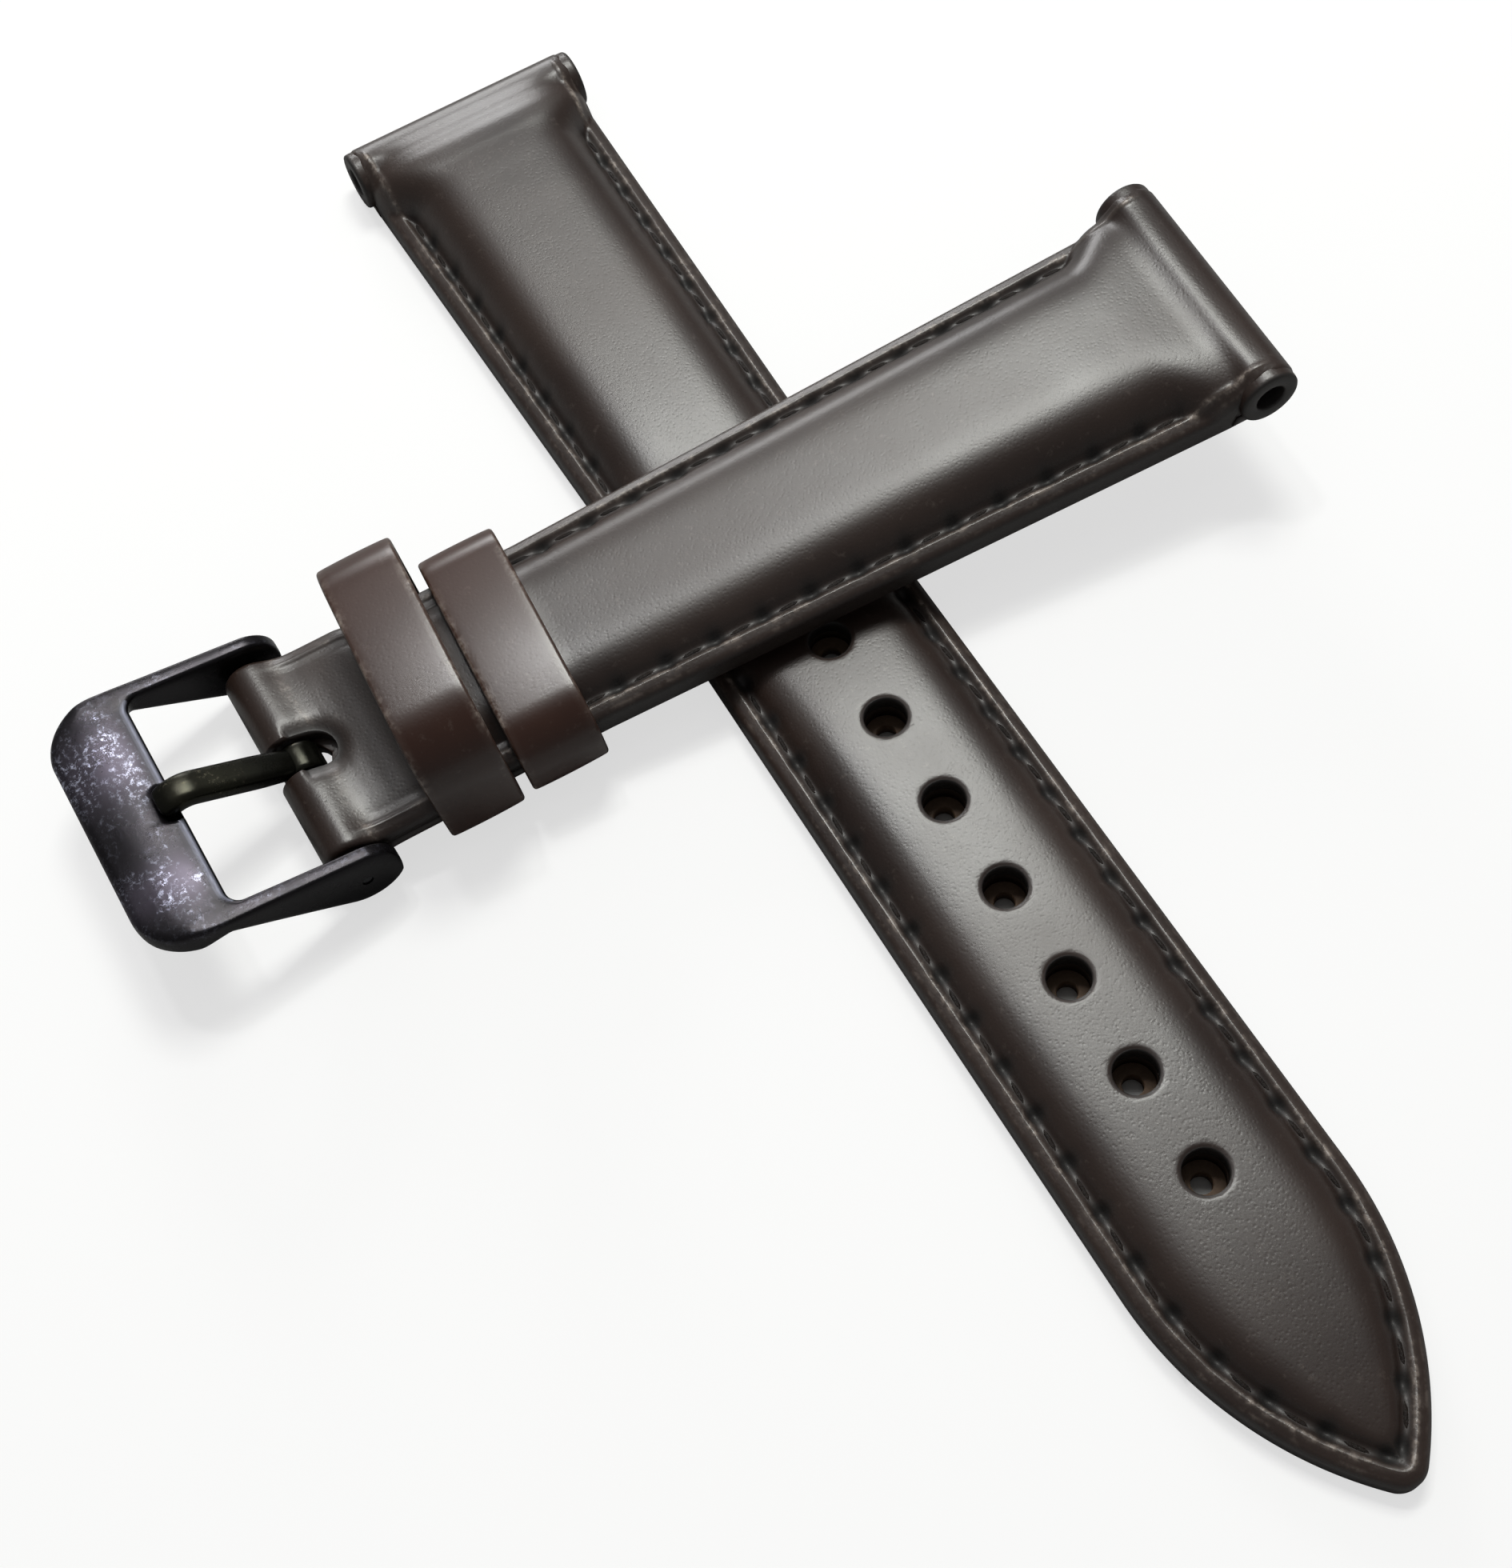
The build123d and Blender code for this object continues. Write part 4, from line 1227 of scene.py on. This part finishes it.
# Camera, lights and floor
view = {
    "target": (56.58, -6.75, -2.1), "distance": 136.55,
    "azimuth": -22.48, "elevation": 62.73, "roll": 8.8,
    "focal": 2738.0, "longSide": 1960.0, "offset": (29.1, -16.5),  # these three in pixels
    "sensor": 36.0,
}
surroundings = {
    "half": 1.6,  # of the floor's side, in metres like the next four
    "below": 0.00002,
    "punchedX": 0.0715,  # middle of the punched part
    "clearX": (0.026, 0.029),
    "clearY": (0.0055, 0.0070),
    "glow": 0.65,
    "surround": 0.15,  # its brightness for all but the camera
}
lights = {  # aim in mm; azimuth and elevation; distance and size in metres; brightness; colour
    "window": ((70, 8, 0), 149, 62, 0.50, (0.15, 0.15), 19.0, (0.985, 1.0, 0.95)),
    "ceiling": ((50, 0, 0), 158, 58, 0.70, (1.1, 1.1), 0.28, (1, 1, 1)),
    "rear": ((5, 0, 4), 169, 18, 0.60, (0.20, 0.13), 11.0, (1, 1, 1)),
    "lamp": ((47.0, -24.0, 9.0), 173, 65, 0.50, (0.04, 0.04), 75.0, (1, 1, 1)),
}


def direction(azimuth, elevation):
    # a unit vector from two angles in degrees
    a, e = math.radians(azimuth), math.radians(elevation)
    return np.array([math.cos(e) * math.cos(a), math.cos(e) * math.sin(a), math.sin(e)])


def stand(name, data, axes, place):
    # an object turned to three axes and moved to a place
    made = addObject(name, data)
    turned = Matrix(np.stack(axes, axis=1).tolist()).to_4x4()
    turned.translation = place
    made.matrix_world = turned
    return made


def makeCamera():
    # looks from the target along azimuth and elevation, rolled about its own axis, the lens from
    # the focal length in pixels of the long side
    r = math.radians(view["roll"])
    back = direction(view["azimuth"], view["elevation"])
    right = unit(np.cross(-back, (0, 0, 1)))
    down = np.cross(-back, right)
    rolledRight = math.cos(r) * right + math.sin(r) * down
    rolledUp = math.sin(r) * right - math.cos(r) * down
    data = bpy.data.cameras.new("camera")
    data.sensor_width = view["sensor"]
    data.lens = view["focal"] * view["sensor"] / view["longSide"]
    data.shift_x = -view["offset"][0] / view["longSide"]
    data.shift_y = view["offset"][1] / view["longSide"]
    data.clip_start, data.clip_end = 0.005, 20
    place = (np.array(view["target"]) + view["distance"] * back) * mm
    bpy.context.scene.camera = stand("camera", data, [rolledRight, rolledUp, back], place)


def softLight(name, aim, azimuth, elevation, distance, size, brightness, colour):
    # an area light aimed at a point from a direction; its power is pi times brightness times area
    back = direction(azimuth, elevation)
    data = bpy.data.lights.new(name, "AREA")
    data.shape, data.size, data.size_y, data.color = "RECTANGLE", *size, colour
    data.energy = math.pi * brightness * size[0] * size[1]
    side = unit(np.cross((0, 0, 1), back))
    stand(name, data, [side, np.cross(back, side), back], np.array(aim) * mm + distance * back)


def cameraRay(near):
    # 1 for what the camera sees and 0 for the light's own ways
    return node(near, "ShaderNodeLightPath").outputs["Is Camera Ray"]


def makeStage():
    # a wide pale floor just under the long piece and an even pale surround
    size, z = surroundings["half"], -strapLay["loopRadius"] * mm - surroundings["below"]
    mesh = bpy.data.meshes.new("floor")
    corners = [(-size, -size, z), (size, -size, z), (size, size, z), (-size, size, z)]
    mesh.from_pydata(corners, [], [(0, 1, 2, 3)])
    material, shader, vector = startMaterial("paleFloor")
    # a glow for the camera alone keeps the shadows pale, but not under the punched part of the strap
    place = node(vector, "ShaderNodeSeparateXYZ")
    feed(place.inputs[0], vector)
    along = mathNode("SUBTRACT", place.outputs["X"], surroundings["punchedX"])
    clear = [remap(mathNode("ABSOLUTE", value), *surroundings[limits])
             for value, limits in ((along, "clearX"), (place.outputs["Y"], "clearY"))]
    glow = times(times(cameraRay(vector), surroundings["glow"]), mathNode("MAXIMUM", *clear))
    grey = remap(noise(vector, 4.0, 2.0), 0.3, 0.7, 0.35, 0.37)
    feedAll(shader, {"Base Color": grey, "Roughness": 0.9, "Specular IOR Level": 0.1,
                     "Emission Strength": glow, "Emission Color": (1, 1, 1)})
    mesh.materials.append(material)
    addObject("floor", mesh)
    world = bpy.data.worlds.new("surround")
    world.use_nodes = True
    background = world.node_tree.nodes["Background"]
    strength = remap(cameraRay(background), 0, 1, surroundings["surround"], 1.0)
    feedAll(background, {"Color": (1, 1, 1), "Strength": strength})
    bpy.context.scene.world = world
    bpy.context.scene.view_settings.view_transform = "Standard"


makeCamera()
makeStage()
for name, settings in lights.items():
    softLight(name, *settings)
print("stage made")
